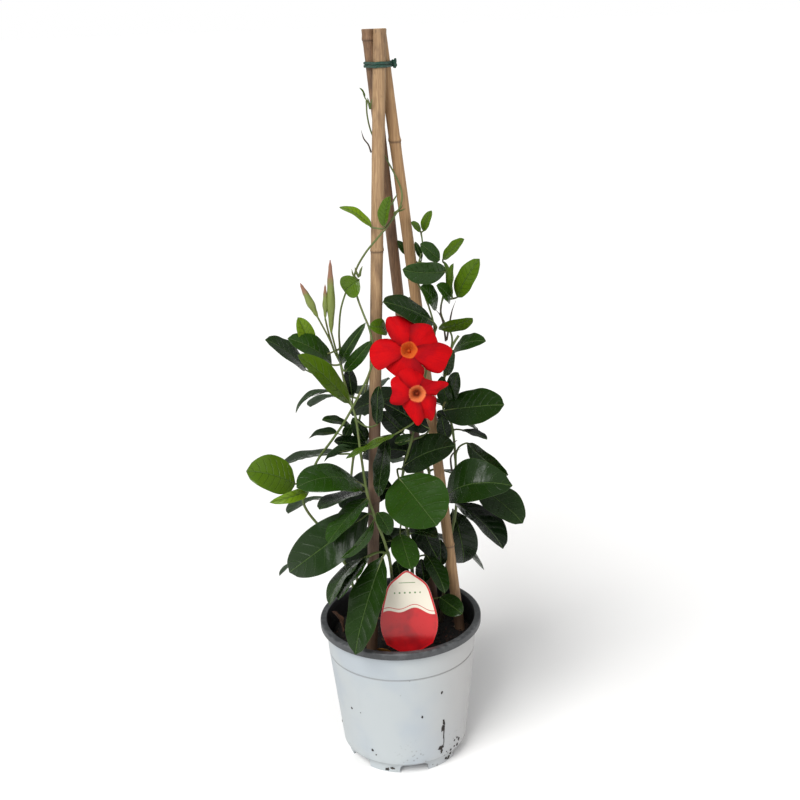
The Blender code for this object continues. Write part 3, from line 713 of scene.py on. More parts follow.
    def make(self) -> bpy.types.Object:
        """Turn the pot, open its arches and dress it.

        Returns:
            The finished piece.
        """
        draft = Draft()
        outside, rim = self.outside(), self.rim()
        rings = []
        for radius, height in outside + rim:
            around = turns(self.sides) if radius else [0.0]
            rings.append([draft.corner(polar(radius, angle, height)) for angle in around])
        for index, (low, high) in enumerate(zip(rings, rings[1:])):
            finish = 0 if index < len(outside) - 1 else 1
            if len(low) == 1 or len(high) == 1:
                middle, ring = (low[0], high) if len(low) == 1 else (high[0], low)
                for turn in range(self.sides):
                    draft.face((middle, ring[turn], ring[(turn + 1) % self.sides]), finish)
            else:
                draft.skin((low, high), closed=True, finish=finish)
        pot = draft.cast("pot_shell")
        pot.data.materials.append(PotFinish().make())
        pot.data.materials.append(RimFinish().make())
        self.open_foot(pot)
        pot.data.shade_smooth()
        pot.data.set_sharp_from_angle(angle=math.radians(self.crease))
        return settle(pot, "pot", "pot")

    def open_foot(self, pot: bpy.types.Object) -> None:
        """Cut the arches and the drain holes out of the pot's mesh.

        Args:
            pot: The turned pot, whose mesh is replaced.
        """
        bag = bpy.data.collections.new("pot_cutters")
        for number in range(self.openings):
            bag.objects.link(self.arch(number))
            bag.objects.link(self.drain(number))
        arches = pot.modifiers.new("arches", "BOOLEAN")
        arches.operation = "DIFFERENCE"
        arches.operand_type = "COLLECTION"
        arches.collection = bag
        evaluated = pot.evaluated_get(bpy.context.evaluated_depsgraph_get())
        mesh = bpy.data.meshes.new_from_object(evaluated)
        pot.modifiers.clear()
        pot.data = mesh
        for cutter in list(bag.objects):
            bpy.data.objects.remove(cutter)
        bpy.data.collections.remove(bag)


@dataclass(frozen=True)
class DirtFinish:
    """Dried splashes of peat."""

    dark: Colour = (0.012, 0.010, 0.009)
    brown: Colour = (0.06, 0.045, 0.035)

    def make(self) -> bpy.types.Material:
        """Return the splashes' material.

        Returns:
            The material.
        """
        sheet = Sheet("peat_splash")
        clot = sheet.grain(900, 3, 0.6)
        colour = sheet.mix(sheet.step(clot, 0.45, 0.7), self.dark, self.brown)
        sheet.bump(clot, 0.0003, 0.8)
        return sheet.finish(Base_Color=colour, Roughness=0.75 + clot * 0.2)


@dataclass(frozen=True)
class Splash:
    """One dried splash: its angle and height on the wall, half width, half height and slant."""

    angle: float
    height: float
    wide: float
    tall: float
    slant: float = 0.0


SPLASHES = (
    Splash(-58.2, 96.5, 0.8, 1.5, -20), Splash(-75.3, 72.7, 0.7, 1.1, 15),
    Splash(-138.3, 72.3, 0.9, 0.8), Splash(-128.4, 71.8, 0.4, 0.4), Splash(-55.0, 57.5, 1.0, 3.2, 10),
    Splash(-55.2, 50.5, 1.5, 3.4, -8), Splash(-54.6, 43, 0.5, 5.0), Splash(-54.1, 33, 0.35, 6.0),
    Splash(-56.9, 25.8, 2.3, 2.0, 30), Splash(-56.1, 21.5, 1.0, 2.2, -10),
    Splash(-120.6, 27.4, 0.9, 1.1, 25), Splash(-117.2, 22.5, 0.5, 0.6),
    Splash(-108.8, 3.4, 1.6, 1.4, 40), Splash(-103.5, 5.2, 1.7, 1.0, -20),
    Splash(-33.0, 22.3, 1.2, 1.5, 20), Splash(-40.1, 25.5, 0.9, 0.8), Splash(-36.4, 26.4, 0.8, 1.0),
    Splash(-35.2, 16.8, 1.4, 1.2, -30), Splash(-44.7, 16.2, 1.0, 0.9), Splash(-39.7, 17.6, 0.9, 0.8),
    Splash(-43.3, 4.2, 1.7, 1.3, 35), Splash(-47.2, 4.8, 1.0, 0.9), Splash(-40.2, 7.5, 1.2, 1.4, 10),
    Splash(-50.1, 17.2, 0.5, 0.5), Splash(28.0, 61.0, 0.9, 1.2, 20), Splash(71.0, 24.0, 1.4, 1.1),
    Splash(112.0, 83.0, 0.7, 1.3, 10), Splash(150.0, 19.0, 1.6, 1.0, -25),
    Splash(-168.0, 35.0, 0.8, 1.0),
)


@dataclass
class PotDirt:
    """The splashes of peat that dried on the pot's wall."""

    pot: Pot
    splashes: tuple[Splash, ...] = SPLASHES
    lift: float = 0.1
    thickness: float = 0.35
    spread: float = 1.5
    sides: int = 14
    seed: int = 4

    def radius_at(self, height: float) -> float:
        """Return the pot's outer radius at a height on its wall or foot.

        Args:
            height: The height.

        Returns:
            The radius there.
        """
        pot = self.pot
        if height > pot.step_height:
            return pot.wall_at(height)
        return pot.foot + 0.7 * height / pot.step_height

    def spot_at(self, splash: Splash, across: float, up: float, lift: float) -> Vector:
        """Return the place at an offset from a splash's middle, lifted off the wall.

        Args:
            splash: The splash.
            across: The offset round the wall.
            up: The offset up the wall.
            lift: The distance off the wall.

        Returns:
            The place.
        """
        radius = self.radius_at(splash.height + up) + lift
        angle = math.radians(splash.angle) + across / radius
        return polar(radius, angle, splash.height + up)

    def make(self) -> bpy.types.Object:
        """Build every splash as a low ragged dome and dress them.

        Returns:
            The finished piece.
        """
        draw = random.Random(self.seed)
        draft = Draft()
        for splash in self.splashes:
            slant = math.radians(splash.slant)
            ragged = [draw.uniform(0.62, 1.25) for _ in range(self.sides)]
            rows = []
            for share, lift in ((1.0, self.lift), (0.92, self.lift + 0.6 * self.thickness),
                                (0.5, self.lift + self.thickness)):
                row = []
                for angle, reach in zip(turns(self.sides), ragged):
                    x = self.spread * splash.wide * reach * share * math.cos(angle)
                    z = self.spread * splash.tall * reach * share * math.sin(angle)
                    across = x * math.cos(slant) - z * math.sin(slant)
                    up = x * math.sin(slant) + z * math.cos(slant)
                    row.append(draft.corner(self.spot_at(splash, across, up, lift)))
                rows.append(row)
            draft.solid(rows)
        return draft.piece("pot_dirt", DirtFinish().make(), "soil", "pot", crease=50)


@dataclass(frozen=True)
class SoilFinish:
    """Damp peat with brown fibre and a few pale grains."""

    peat: Colour = (0.006, 0.0045, 0.0038)
    fibre: Colour = (0.045, 0.020, 0.012)
    grain: Colour = (0.26, 0.21, 0.16)

    def make(self) -> bpy.types.Material:
        """Return the soil's material.

        Returns:
            The material.
        """
        sheet = Sheet("peat")
        coarse = sheet.grain(220, 5, 0.7)
        colour = sheet.mix(sheet.step(coarse, 0.52, 0.78), self.peat, self.fibre)
        pale = sheet.step(sheet.cells(260), 0.16, 0.08) * sheet.step(sheet.grain(70), 0.6, 0.66)
        colour = sheet.mix(pale, colour, self.grain)
        sheet.bump(coarse + sheet.grain(900, 3) * 0.5, 0.0012, 0.9)
        return sheet.finish(Base_Color=colour, Roughness=0.78 + coarse * 0.2)


@dataclass(frozen=True)
class ChipFinish:
    """Bark chips and crumbs, from near black to red brown."""

    dark: Colour = (0.010, 0.006, 0.005)
    bright: Colour = (0.10, 0.042, 0.022)
    pale: Colour = (0.35, 0.30, 0.24)

    def make(self) -> bpy.types.Material:
        """Return the chips' material.

        Returns:
            The material.
        """
        sheet = Sheet("bark_chip")
        chance = sheet.attribute(TONE).output("X")
        fibre = sheet.grain(500, 4, 0.6)
        colour = sheet.mix(sheet.step(chance, 0.3, 1.0) * 0.7 + fibre * 0.3, self.dark, self.bright)
        colour = sheet.mix(sheet.step(chance, 0.955, 0.965), colour, self.pale)
        sheet.bump(fibre, 0.0005, 0.8)
        return sheet.finish(Base_Color=colour, Roughness=0.8 + fibre * 0.15)


@dataclass
class SoilBed:
    """The plug of potting soil, crumbly on top, with loose chips on it."""

    pot: Pot
    top: float = 130.0
    radius: float = 75.2
    bare: float = 2.2
    gap: float = 0.3
    crown: tuple[Point, ...] = ((0, 2.0), (24, 2.0), (44, -0.4), (62, 0.6), (75.2, -0.5))
    rings: int = 46
    sides: int = 120
    chips: int = 420
    seed: int = 5

    def height_at(self, x: float, y: float) -> float:
        """Return the crumbly surface's height at a place, in millimetres.

        Args:
            x: The place along the first axis.
            y: The place along the second axis.

        Returns:
            The height there.
        """
        crown = read_curve(self.crown, math.hypot(x, y))
        spot = Vector((x, y, 7.0))
        clump = 1.5 * noise.noise(spot * 0.09) + 0.9 * noise.noise(spot * 0.28)
        return self.top + crown + clump + 0.5 * noise.noise(spot * 0.8)

    def bed(self) -> bpy.types.Object:
        """Return the plug with its crumbly top.

        Returns:
            The finished piece.
        """
        pot = self.pot
        lining = pot.wall + self.gap
        draft = Draft()
        rings = [[draft.corner(Vector((0, 0, self.height_at(0, 0))))]]
        for ring in range(1, self.rings + 1):
            spots = [polar(self.radius * ring / self.rings, angle) for angle in turns(self.sides)]
            rings.append([draft.corner(Vector((spot.x, spot.y, self.height_at(spot.x, spot.y))))
                          for spot in spots])
        below = ((pot.wall_at(pot.groove_height) - pot.groove_depth / 2 - lining, pot.groove_height),
                 (pot.step_radius - lining, pot.step_height + 2.3),
                 (pot.foot - lining, pot.floor[1] + self.gap))
        for radius, height in below:
            rings.append([draft.corner(polar(radius, angle, height)) for angle in turns(self.sides)])
        for turn in range(self.sides):
            draft.face((rings[0][0], rings[1][turn], rings[1][(turn + 1) % self.sides]))
        draft.skin(rings[1:], closed=True)
        draft.face(rings[-1])
        return draft.piece("soil_bed", SoilFinish().make(), "soil", "soil", crease=60)

    def litter(self) -> bpy.types.Object:
        """Return the chips and crumbs that lie on the bed.

        Returns:
            The finished piece.
        """
        draw = random.Random(self.seed)
        draft = Draft()
        for _ in range(self.chips):
            radius = (self.radius - self.bare) * math.sqrt(draw.random())
            spot = polar(radius, draw.uniform(0, math.tau))
            size = draw.uniform(0.7, 2.6) ** 1.25
            spot.z = self.height_at(spot.x, spot.y) + 0.15 * size
            self.chip(draft, draw, spot, size)
        return draft.piece("soil_chips", ChipFinish().make(), "soil", "soil", crease=50)

    @staticmethod
    def chip(draft: Draft, draw: random.Random, spot: Vector, size: float) -> None:
        """Add one broken chip.

        Args:
            draft: Where it goes.
            draw: The source of chance.
            spot: Its middle.
            size: Its half length.
        """
        turn = Matrix.Rotation(draw.uniform(0, math.tau), 3, "Z")
        tip = Matrix.Rotation(draw.uniform(-0.35, 0.35), 3, "Y")
        chance = (draw.random(), 0, 0)
        wide, thick = draw.uniform(0.35, 0.8), draw.uniform(0.18, 0.4)
        rows = []
        for level, reach in ((-1, 0.7), (0, 1), (1, 0.62)):
            row = []
            for even in turns(6):
                angle = even + draw.uniform(-0.3, 0.3)
                out = size * reach * draw.uniform(0.75, 1.15)
                local = Vector((out * math.cos(angle), out * wide * math.sin(angle),
                                level * size * thick * draw.uniform(0.7, 1.2)))
                row.append(draft.corner(spot + turn @ (tip @ local), (0, 0, 0), chance))
            rows.append(row)
        draft.solid(rows)

    def make(self) -> None:
        """Build the bed and its litter."""
        self.bed()
        self.litter()


@dataclass(frozen=True)
class CaneFinish:
    """Weathered bamboo: long fibres, mottled stain, dark rings, painted shade darkening its lower part,
    and a raw cut end.
    """

    pale: Colour = (0.42, 0.27, 0.14)
    tan: Colour = (0.27, 0.16, 0.078)
    stain: Colour = (0.075, 0.040, 0.022)
    # The foot colour is the painted shade that the leaves cast on the cane's lower part.
    foot: Colour = (0.055, 0.026, 0.018)
    stained: float = 0.5
    shade_top: float = 0.44
    high_stain: float = 0.66

    def make(self, name: str) -> bpy.types.Material:
        """Return one cane's material.

        Args:
            name: The cane's name.

        Returns:
            The material.
        """
        sheet = Sheet(name + "_bamboo")
        ring = sheet.attribute(TONE).output("X")
        cut = sheet.attribute(TONE).output("Y")
        height = sheet.node("ShaderNodeSeparateXYZ", values={0: sheet.where()}).output("Z")
        fibre = sheet.grain(900, 3, 0.6, sheet.stretched(1, 1, 0.035))
        patch = sheet.grain(55, 4, 0.6, sheet.stretched(1, 1, 0.35))
        near_top = sheet.step(height, self.high_stain, self.high_stain + 0.03)
        mottle = sheet.step(patch + near_top * 0.09, 0.60 - 0.12 * self.stained, 0.72)
        spots = sheet.step(sheet.cells(190, at=sheet.stretched(1, 1, 0.4)), 0.16, 0.06)
        colour = sheet.mix(sheet.step(fibre, 0.35, 0.7), self.tan, self.pale)
        shade = mottle * self.stained + spots * (0.25 + near_top * 0.35) * self.stained
        colour = sheet.mix(shade, colour, self.stain)
        # Painted shade: the cane darkens below a set height, for the shade that the leaves cast on its
        # lower part.
        painted_shade = sheet.step(height + (patch - 0.5) * 0.06, self.shade_top, self.shade_top - 0.05)
        colour = sheet.mix(painted_shade * 0.8, colour, self.foot)
        colour = sheet.mix(ring * 0.7, colour, self.stain)
        colour = sheet.mix(cut, colour, self.pale)
        sheet.bump(fibre + patch * 0.4, 0.00025, 0.8)
        return sheet.finish(Base_Color=colour, Roughness=0.52 + fibre * 0.22)


@dataclass
class Cane:
    """A straight cane: foot height, places at the soil line and top, radii and rings."""

    name: str
    foot: float
    at_soil: Point
    at_top: Point
    radii: tuple[float, float]
    rings: tuple[float, ...]
    finish: CaneFinish
    soil_line: float = 130.0
    top: float = 746.0
    swell: float = 0.7
    sides: int = 24
    spacing: float = 6.0

    def point(self, height: float) -> Vector:
        """Return the axis's place at a height.

        Args:
            height: The height.

        Returns:
            The place of the axis there.
        """
        share = (height - self.soil_line) / (self.top - self.soil_line)
        spot = Vector(self.at_soil).lerp(Vector(self.at_top), share)
        return Vector((spot.x, spot.y, height))

    def radius(self, height: float) -> float:
        """Return the radius at a height, apart from the rings."""
        low, high = self.radii
        return low + (high - low) * (height - self.foot) / (self.top - self.foot)

    def swelling(self, height: float) -> float:
        """Return how far the rings swell the cane at a height.

        Args:
            height: The height.

        Returns:
            What the rings add to the radius there.
        """
        swell = 0.0
        for ring in self.rings:
            away = height - ring
            ridge, groove = math.exp(-(away / 2.6) ** 2), math.exp(-((away + 1.6) / 0.5) ** 2)
            swell += self.swell * (ridge - 0.5 * groove)
        return swell

    def heights(self) -> list[float]:
        """Return the stations' heights, close together at the rings.

        Returns:
            The heights, rising.
        """
        heights = {self.foot, self.top - 0.8}
        steps = int((self.top - self.foot) / self.spacing)
        heights |= {self.foot + step * self.spacing for step in range(1, steps)}
        for ring in self.rings:
            heights |= {ring + 0.6 * step for step in range(-10, 11)}
        return sorted(height for height in heights if height <= self.top - 0.8)

    def make(self) -> bpy.types.Object:
        """Sweep the cane, hollow its cut top and dress it.

        Returns:
            The finished piece.
        """
        draft = Draft()
        rows = []
        for height in self.heights():
            spot = self.point(height)
            near = max(math.exp(-((height - ring + 1.2) / 1.1) ** 2) for ring in self.rings)
            row = []
            for angle in turns(self.sides):
                out = polar(1, angle)
                wobble = 0.16 * noise.noise(Vector((out.x, out.y, height * 0.03 + self.foot)) * 1.3)
                radius = self.radius(height) + self.swelling(height) + wobble
                row.append(draft.corner(spot + out * radius, tone=(near, 0, 0)))
            rows.append(row)
        for drop, share, cut in ((0, 0.92, 0.8), (0, 0.56, 0.8), (3.5, 0.5, 0)):
            spot = self.point(self.top - drop)
            reach = share * self.radius(self.top)
            rows.append([draft.corner(spot + polar(reach, angle), tone=(0, cut, 0))
                         for angle in turns(self.sides)])
        draft.solid(rows)
        return draft.piece(self.name + "_stick", self.finish.make(self.name), "cane", self.name,
                           crease=48)


CANES = (
    Cane("cane_front", 50, (-31, -44), (2.5, -9), (5.6, 6.0), (300, 548), CaneFinish(stained=0.6)),
    Cane("cane_right", 94, (63, 6), (2.5, 3.5), (5.4, 5.4), (230, 448, 646),
         CaneFinish(pale=(0.44, 0.27, 0.13), tan=(0.29, 0.165, 0.075), stained=0.35, shade_top=0.20)),
    Cane("cane_back", 62, (38, 42), (-8.5, -2), (4.4, 5.8), (260, 470, 737),
         CaneFinish(pale=(0.24, 0.135, 0.07), tan=(0.14, 0.075, 0.038), stained=0.8, shade_top=0.40)),
)


@dataclass(frozen=True)
class TieFinish:
    """Dark green plastic tape with a fine lengthwise rib."""

    base: Colour = (0.006, 0.050, 0.032)
    worn: Colour = (0.03, 0.12, 0.085)

    def make(self) -> bpy.types.Material:
        """Return the tie's material.

        Returns:
            The material.
        """
        sheet = Sheet("tie_tape")
        rub = sheet.grain(420, 4, 0.6)
        rib = sheet.node("ShaderNodeTexWave", {"bands_direction": "Z"},
                         {"Scale": 420.0, "Distortion": 0.4})
        colour = sheet.mix(sheet.step(rub, 0.5, 0.75) * 0.6, self.base, self.worn)
        sheet.bump(rib * 0.5 + rub * 0.4, 0.0002, 0.8)
        return sheet.finish(Base_Color=colour, Roughness=0.34 + rub * 0.2)


@dataclass
class CaneTie:
    """The band round the canes and its twisted knot."""

    height: float = 715.0
    width: float = 5.5
    thickness: float = 1.1
    slack: float = 0.8
    bevel: float = 0.25
    parting: float = 0.15
    wraps: int = 2
    sides: int = 40
    knot: Point = (13.0, 3.4, 715.0)

    def outline(self, extra: float) -> list[Vector]:
        """Return the closed outline round the canes, grown by an extra radius.

        Args:
            extra: The radius to add round each cane.

        Returns:
            The outline, in order.
        """
        spots = []
        for cane in CANES:
            middle, reach = cane.point(self.height), cane.radius(self.height) + extra
            spots += [middle + polar(reach, angle) for angle in turns(self.sides)]
        spots.sort(key=lambda spot: (spot.x, spot.y))
        halves: list[list[Vector]] = []
        for ordered in (spots, spots[::-1]):
            half: list[Vector] = []
            for spot in ordered:
                while len(half) > 1 and (half[-1] - half[-2]).cross(spot - half[-1]).z <= 0:
                    half.pop()
                half.append(spot)
            halves.append(half[:-1])
        return halves[0] + halves[1]

    def band(self, draft: Draft, low: float, high: float) -> None:
        """Add one flat wrap between two heights.

        Args:
            draft: Where the corners and faces go.
            low: The lower height.
            high: The upper height.
        """
        inner, outer = self.outline(self.slack + 0.1), self.outline(self.slack + self.thickness)
        count = min(len(inner), len(outer))
        inner = [inner[round(index * (len(inner) - 1) / (count - 1))] for index in range(count)]
        outer = [outer[round(index * (len(outer) - 1) / (count - 1))] for index in range(count)]
        middle = (low + high) / 2
        bevel = self.bevel
        levels = ((inner, low, 0.0), (outer, low + bevel, bevel), (outer, middle, 0.0),
                  (outer, high - bevel, bevel), (inner, high, 0.0))
        centre = sum(outer, Vector()) / count
        rows = []
        for line, level, pull in levels:
            row = []
            for spot in line:
                way = (centre - spot).normalized()
                sway = 0.25 * noise.noise(spot * 0.2)
                row.append(draft.corner(Vector((*(spot + way * pull).xy, level + sway))))
            rows.append(row)
        rows.append(rows[0])
        draft.skin(rows, closed=True)

    def make(self) -> bpy.types.Object:
        """Wrap the band, twist its ends and dress it.

        Returns:
            The finished piece.
        """
        draft = Draft()
        share = self.width / self.wraps
        for wrap in range(self.wraps):
            low = self.height - self.width / 2 + wrap * share
            self.band(draft, low, low + share - self.parting)
        knot = Vector(self.knot)
        twist = [(-1, 0, 2.5), (1, -1, 1), (2.2, -2, -1), (1.8, -2.3, -2.6), (1.5, -2.4, -4)]
        loop = [(-0.6, 0, -2), (1.8, -0.6, 1), (2.3, -1.1, 3), (2.6, -1.4, 4.5)]
        for steps, radii in ((twist, (1.4, 1.8, 1.3)), (loop, (1.3, 1.7, 1.0))):
            route = smooth_route([knot + Vector(step) for step in steps], 0.4)
            sizes = tapered(1, tuple(zip((0, 0.4, 1), radii)), len(route))
            sweep(draft, route, sizes, 14,
                  shape=lambda angle, index: 1 + 0.16 * math.cos(2 * angle - index * 0.45))
        return draft.piece("cane_tie_tape", TieFinish().make(), "tie", "cane_tie", crease=50)


@dataclass(frozen=True)
class CardFinish:
    """Glossy printed card: cream above, red below, a plain rule and a row of dots."""

    cream: Colour = (0.74, 0.69, 0.58)
    red: Colour = (0.52, 0.006, 0.010)
    deep: Colour = (0.30, 0.004, 0.008)
    green: Colour = (0.10, 0.22, 0.07)
    edge: Colour = (0.72, 0.69, 0.64)

    def make(self) -> bpy.types.Material:
        """Return the card's material.

        Returns:
            The material.
        """
        sheet = Sheet("printed_card")
        place = sheet.attribute(PLACE)
        across, up, front = place.output("X"), place.output("Y"), place.output("Z")
        wave = sheet.maths("SINE", across * 0.21)
        shore = up - wave * 2.2 + across * across * 0.006
        field = sheet.step(shore, 80.6, 80.0)
        rule = sheet.step(abs(shore - 83.6), 0.5, 0.3)
        low_rule = sheet.step(abs(up - 108.5), 0.45, 0.25) * sheet.step(abs(across), 8.5, 8.0)
        column = sheet.maths("PINGPONG", across + 2.6, 2.6)
        dots = sheet.step(sheet.maths("SQRT", column * column + (up - 98) * (up - 98)), 1.1, 0.8)
        dots = dots * sheet.step(abs(across), 14, 13)
        border = sheet.attribute(TONE).output("X")
        blush = sheet.step(sheet.grain(45, 3), 0.4, 0.65)
        red = sheet.mix(blush, self.red, self.deep)
        colour = sheet.mix(field, self.cream, red)
        colour = sheet.mix(rule * 0.9, colour, self.red)
        colour = sheet.mix(sheet.maths("MAXIMUM", low_rule, dots), colour, self.green)
        colour = sheet.mix(sheet.step(border, 0.4, 0.6), colour, self.red)
        colour = sheet.mix(front, self.edge, colour)
        rub = sheet.grain(260, 4)
        sheet.bump(rub, 0.00008, 0.4)
        return sheet.finish(Base_Color=colour, Roughness=0.22 + rub * 0.2, Coat_Weight=0.3)


@dataclass
class LabelCard:
    """The card on its stake, leaning back in the soil."""

    foot: Point = (8.0, -66.0, 108.0)
    top: float = 229.0
    lean: float = 9.0
    thickness: float = 0.9
    border: float = 1.7
    bulge: float = 0.35
    middle: float = 72.0
    half: tuple[Point, ...] = ((3, 0), (6, 14), (7, 34), (24, 44), (29, 58), (29.5, 72), (25, 92),
                               (20, 106), (10, 115))

    def outline(self) -> list[Vector]:
        """Return the card's smooth outline, counter-clockwise from its foot.

        Returns:
            The outline, in order.
        """
        crown = (0.0, self.top - self.foot[2])
        right = [Vector((across, up, 0)) for across, up in (*self.half, crown)]
        left = [Vector((-across * 0.95, up, 0)) for across, up in reversed(self.half)]
        head = smooth_route(right[3:] + left[:-3], 2.2)
        return right[:3] + head + left[-3:]

    def make(self) -> bpy.types.Object:
        """Cut the card with its rounded edges and dress it.

        Returns:
            The finished piece.
        """
        outline = self.outline()
        count = len(outline)
        draft = Draft()
        turned = Matrix.Rotation(math.radians(-self.lean), 3, "X")
        rows = []
        thick, rule, rise = self.thickness, self.border, self.bulge * 0.4
        levels = ((rule + 0.2, 0.0, 1, 0), (rule, 0.0, 1, 1), (0.12, 0.0, 1, 1), (0.0, 0.15, 0, 0),
                  (0.0, thick - 0.15, 0, 0), (0.12, thick, 1, 1), (rule, thick, 1, 1),
                  (rule + 0.2, thick, 1, 0))
        for inset, depth, face, red in levels:
            row = []
            for index, spot in enumerate(outline):
                along = (outline[(index + 1) % count] - outline[index - 1]).normalized()
                inward = Vector((-along.y, along.x, 0))
                flat = spot + inward * inset
                curve = self.bulge * (flat.x / 29) ** 2
                local = Vector((flat.x, depth - curve + rise, flat.y))
                row.append(draft.corner(Vector(self.foot) + turned @ local, (flat.x, flat.y, face),
                                        (red, 0, 0)))
            rows.append(row)
        draft.skin(rows, closed=True)
        for row, depth in ((rows[0], 0.0), (rows[-1], self.thickness)):
            local = Vector((0, depth + rise, self.middle))
            middle = draft.corner(Vector(self.foot) + turned @ local, (0, self.middle, 1))
            for index in range(count):
                draft.face((middle, row[index], row[(index + 1) % count]))
        return draft.piece("label_card", CardFinish().make(), "label", "label", crease=40)


class Age(Enum):
    """A leaf's tone, from dark to pale and young: partly its age, and at the dark end partly painted
    shade for leaves that lie in shade.
    """

    DEEP = 0.0
    DARK = 0.2
    FULL = 0.4
    FRESH = 0.7
    YOUNG = 1.0


@dataclass(frozen=True)
class Venation:
    """The side veins: pairs to a leaf, how far they sweep forward, and one side's offset."""

    pairs: float = 8.0
    sweep: float = 0.17
    offset: float = 0.35


@dataclass(frozen=True)
class LeafFinish:
    """Waxy leaf: veins, mottling, pale underside, and a colour that follows each blade's age tone, whose
    dark end is partly painted shade.
    """

    deep: Colour = (0.0024, 0.0088, 0.0014)
    full: Colour = (0.017, 0.054, 0.0030)
    young: Colour = (0.135, 0.235, 0.007)
    vein: Colour = (0.045, 0.100, 0.018)
    underside: Colour = (0.045, 0.090, 0.032)
    edge: Colour = (0.085, 0.150, 0.035)
    veins: Venation = Venation()

    def make(self, name: str) -> bpy.types.Material:
        """Return the leaf material.

        Args:
            name: The material's name.

        Returns:
            The material.
        """
        sheet = Sheet(name)
        place = sheet.attribute(PLACE)
        across, along, under = place.output("X"), place.output("Y"), place.output("Z")
        tone = sheet.attribute(TONE)
        age, chance, half = tone.output("X"), tone.output("Y"), tone.output("Z")
        out = abs(across)
        veins = self.veins
        phase = (along - veins.sweep * out ** 1.3) * veins.pairs
        phase = phase + sheet.step(across, -0.01, 0.01) * veins.offset
        ridge = abs(sheet.maths("FRACT", phase + chance) - 0.5)
        side_vein = sheet.step(ridge, 0.085, 0.015) * sheet.step(out, 0.92, 0.6)
        midrib = sheet.step(out * half, 0.8, 0.25)
        rim = sheet.step((1 - out) * half, 0.5, 0.1)
        cloud = sheet.grain(70, 4, 0.6)
        fine = sheet.grain(420, 3, 0.6)
        # The dark end of the age tone is partly painted shade, for leaves set DEEP or DARK that lie in
        # shade.
        colour = sheet.mix(sheet.step(age, 0.0, 0.5), self.deep, self.full)
        colour = sheet.mix(sheet.step(age, 0.45, 1.0), colour, self.young)
        shade = (cloud - 0.5) * 0.7 + (fine - 0.5) * 0.3 + (chance - 0.5) * 0.5
        colour = sheet.mix(sheet.maths("MAXIMUM", shade * 0.4 + 0.04, 0.0), colour, self.vein)
        colour = sheet.mix(side_vein * 0.16, colour, self.vein)
        colour = sheet.mix(midrib * 0.5 + rim * 0.3, colour, self.edge)
        colour = sheet.mix(under * 0.7, colour, self.underside)
        net = sheet.step(sheet.cells(330, "DISTANCE_TO_EDGE"), 0.0, 0.16)
        swell = sheet.grain(38, 1, 0.4)
        relief = swell * 2.6 + net * 0.05 + cloud * 0.35 - side_vein * 0.9 - midrib * 1.4 + fine * 0.04
        sheet.bump(relief, 0.00055, 0.9)
        return sheet.finish(Base_Color=colour, Roughness=0.20 + fine * 0.12 + under * 0.35,
                            Specular_IOR_Level=0.24)


@dataclass(frozen=True)
class DryLeafFinish:
    """A shed leaf, papery and blotched."""

    light: Colour
    dark: Colour
    spots: float = 0.5

    def make(self, name: str) -> bpy.types.Material:
        """Return the shed leaf's material.

        Args:
            name: The material's name.

        Returns:
            The material.
        """
        sheet = Sheet(name)
        place = sheet.attribute(PLACE)
        out, along = abs(place.output("X")), place.output("Y")
        ridge = abs(sheet.maths("FRACT", (along - 0.17 * out) * 7) - 0.5)
        vein = sheet.step(ridge, 0.1, 0.02) + sheet.step(out, 0.08, 0.02)
        blotch = sheet.step(sheet.grain(120, 4, 0.65), 0.4, 0.68)
        colour = sheet.mix(blotch * self.spots + 0.25 * sheet.step(out, 0.6, 1), self.light, self.dark)
        colour = sheet.mix(vein * 0.3, colour, self.dark)
        crumple = sheet.grain(260, 4, 0.6)
        sheet.bump(crumple - vein * 0.6, 0.0006, 0.9)
        return sheet.finish(Base_Color=colour, Roughness=0.55 + crumple * 0.25)


@dataclass(frozen=True)
class StemFinish:
    """Twining stem: brown and corky at the foot, green above, with fine lengthwise lines."""

    bark: Colour = (0.045, 0.030, 0.020)
    green: Colour = (0.095, 0.135, 0.030)
    blush: Colour = (0.14, 0.075, 0.035)

    def make(self, name: str) -> bpy.types.Material:
        """Return the stem's material.

        Args:
            name: The material's name.

        Returns:
            The material.
        """
        sheet = Sheet(name)
        age = sheet.attribute(TONE).output("X")
        patch = sheet.grain(90, 4, 0.6)
        line = sheet.grain(700, 3, 0.6, sheet.stretched(1, 1, 0.12))
        colour = sheet.mix(sheet.step(age + (patch - 0.5) * 0.5, 0.25, 0.6), self.bark, self.green)
        colour = sheet.mix(sheet.step(patch, 0.5, 0.7) * 0.4, colour, self.blush)
        colour = sheet.mix(sheet.step(line, 0.5, 0.75) * 0.3, colour, self.bark)
        sheet.bump(line + patch * 0.5, 0.0003, 0.7)
        return sheet.finish(Base_Color=colour, Roughness=0.42 + line * 0.25)


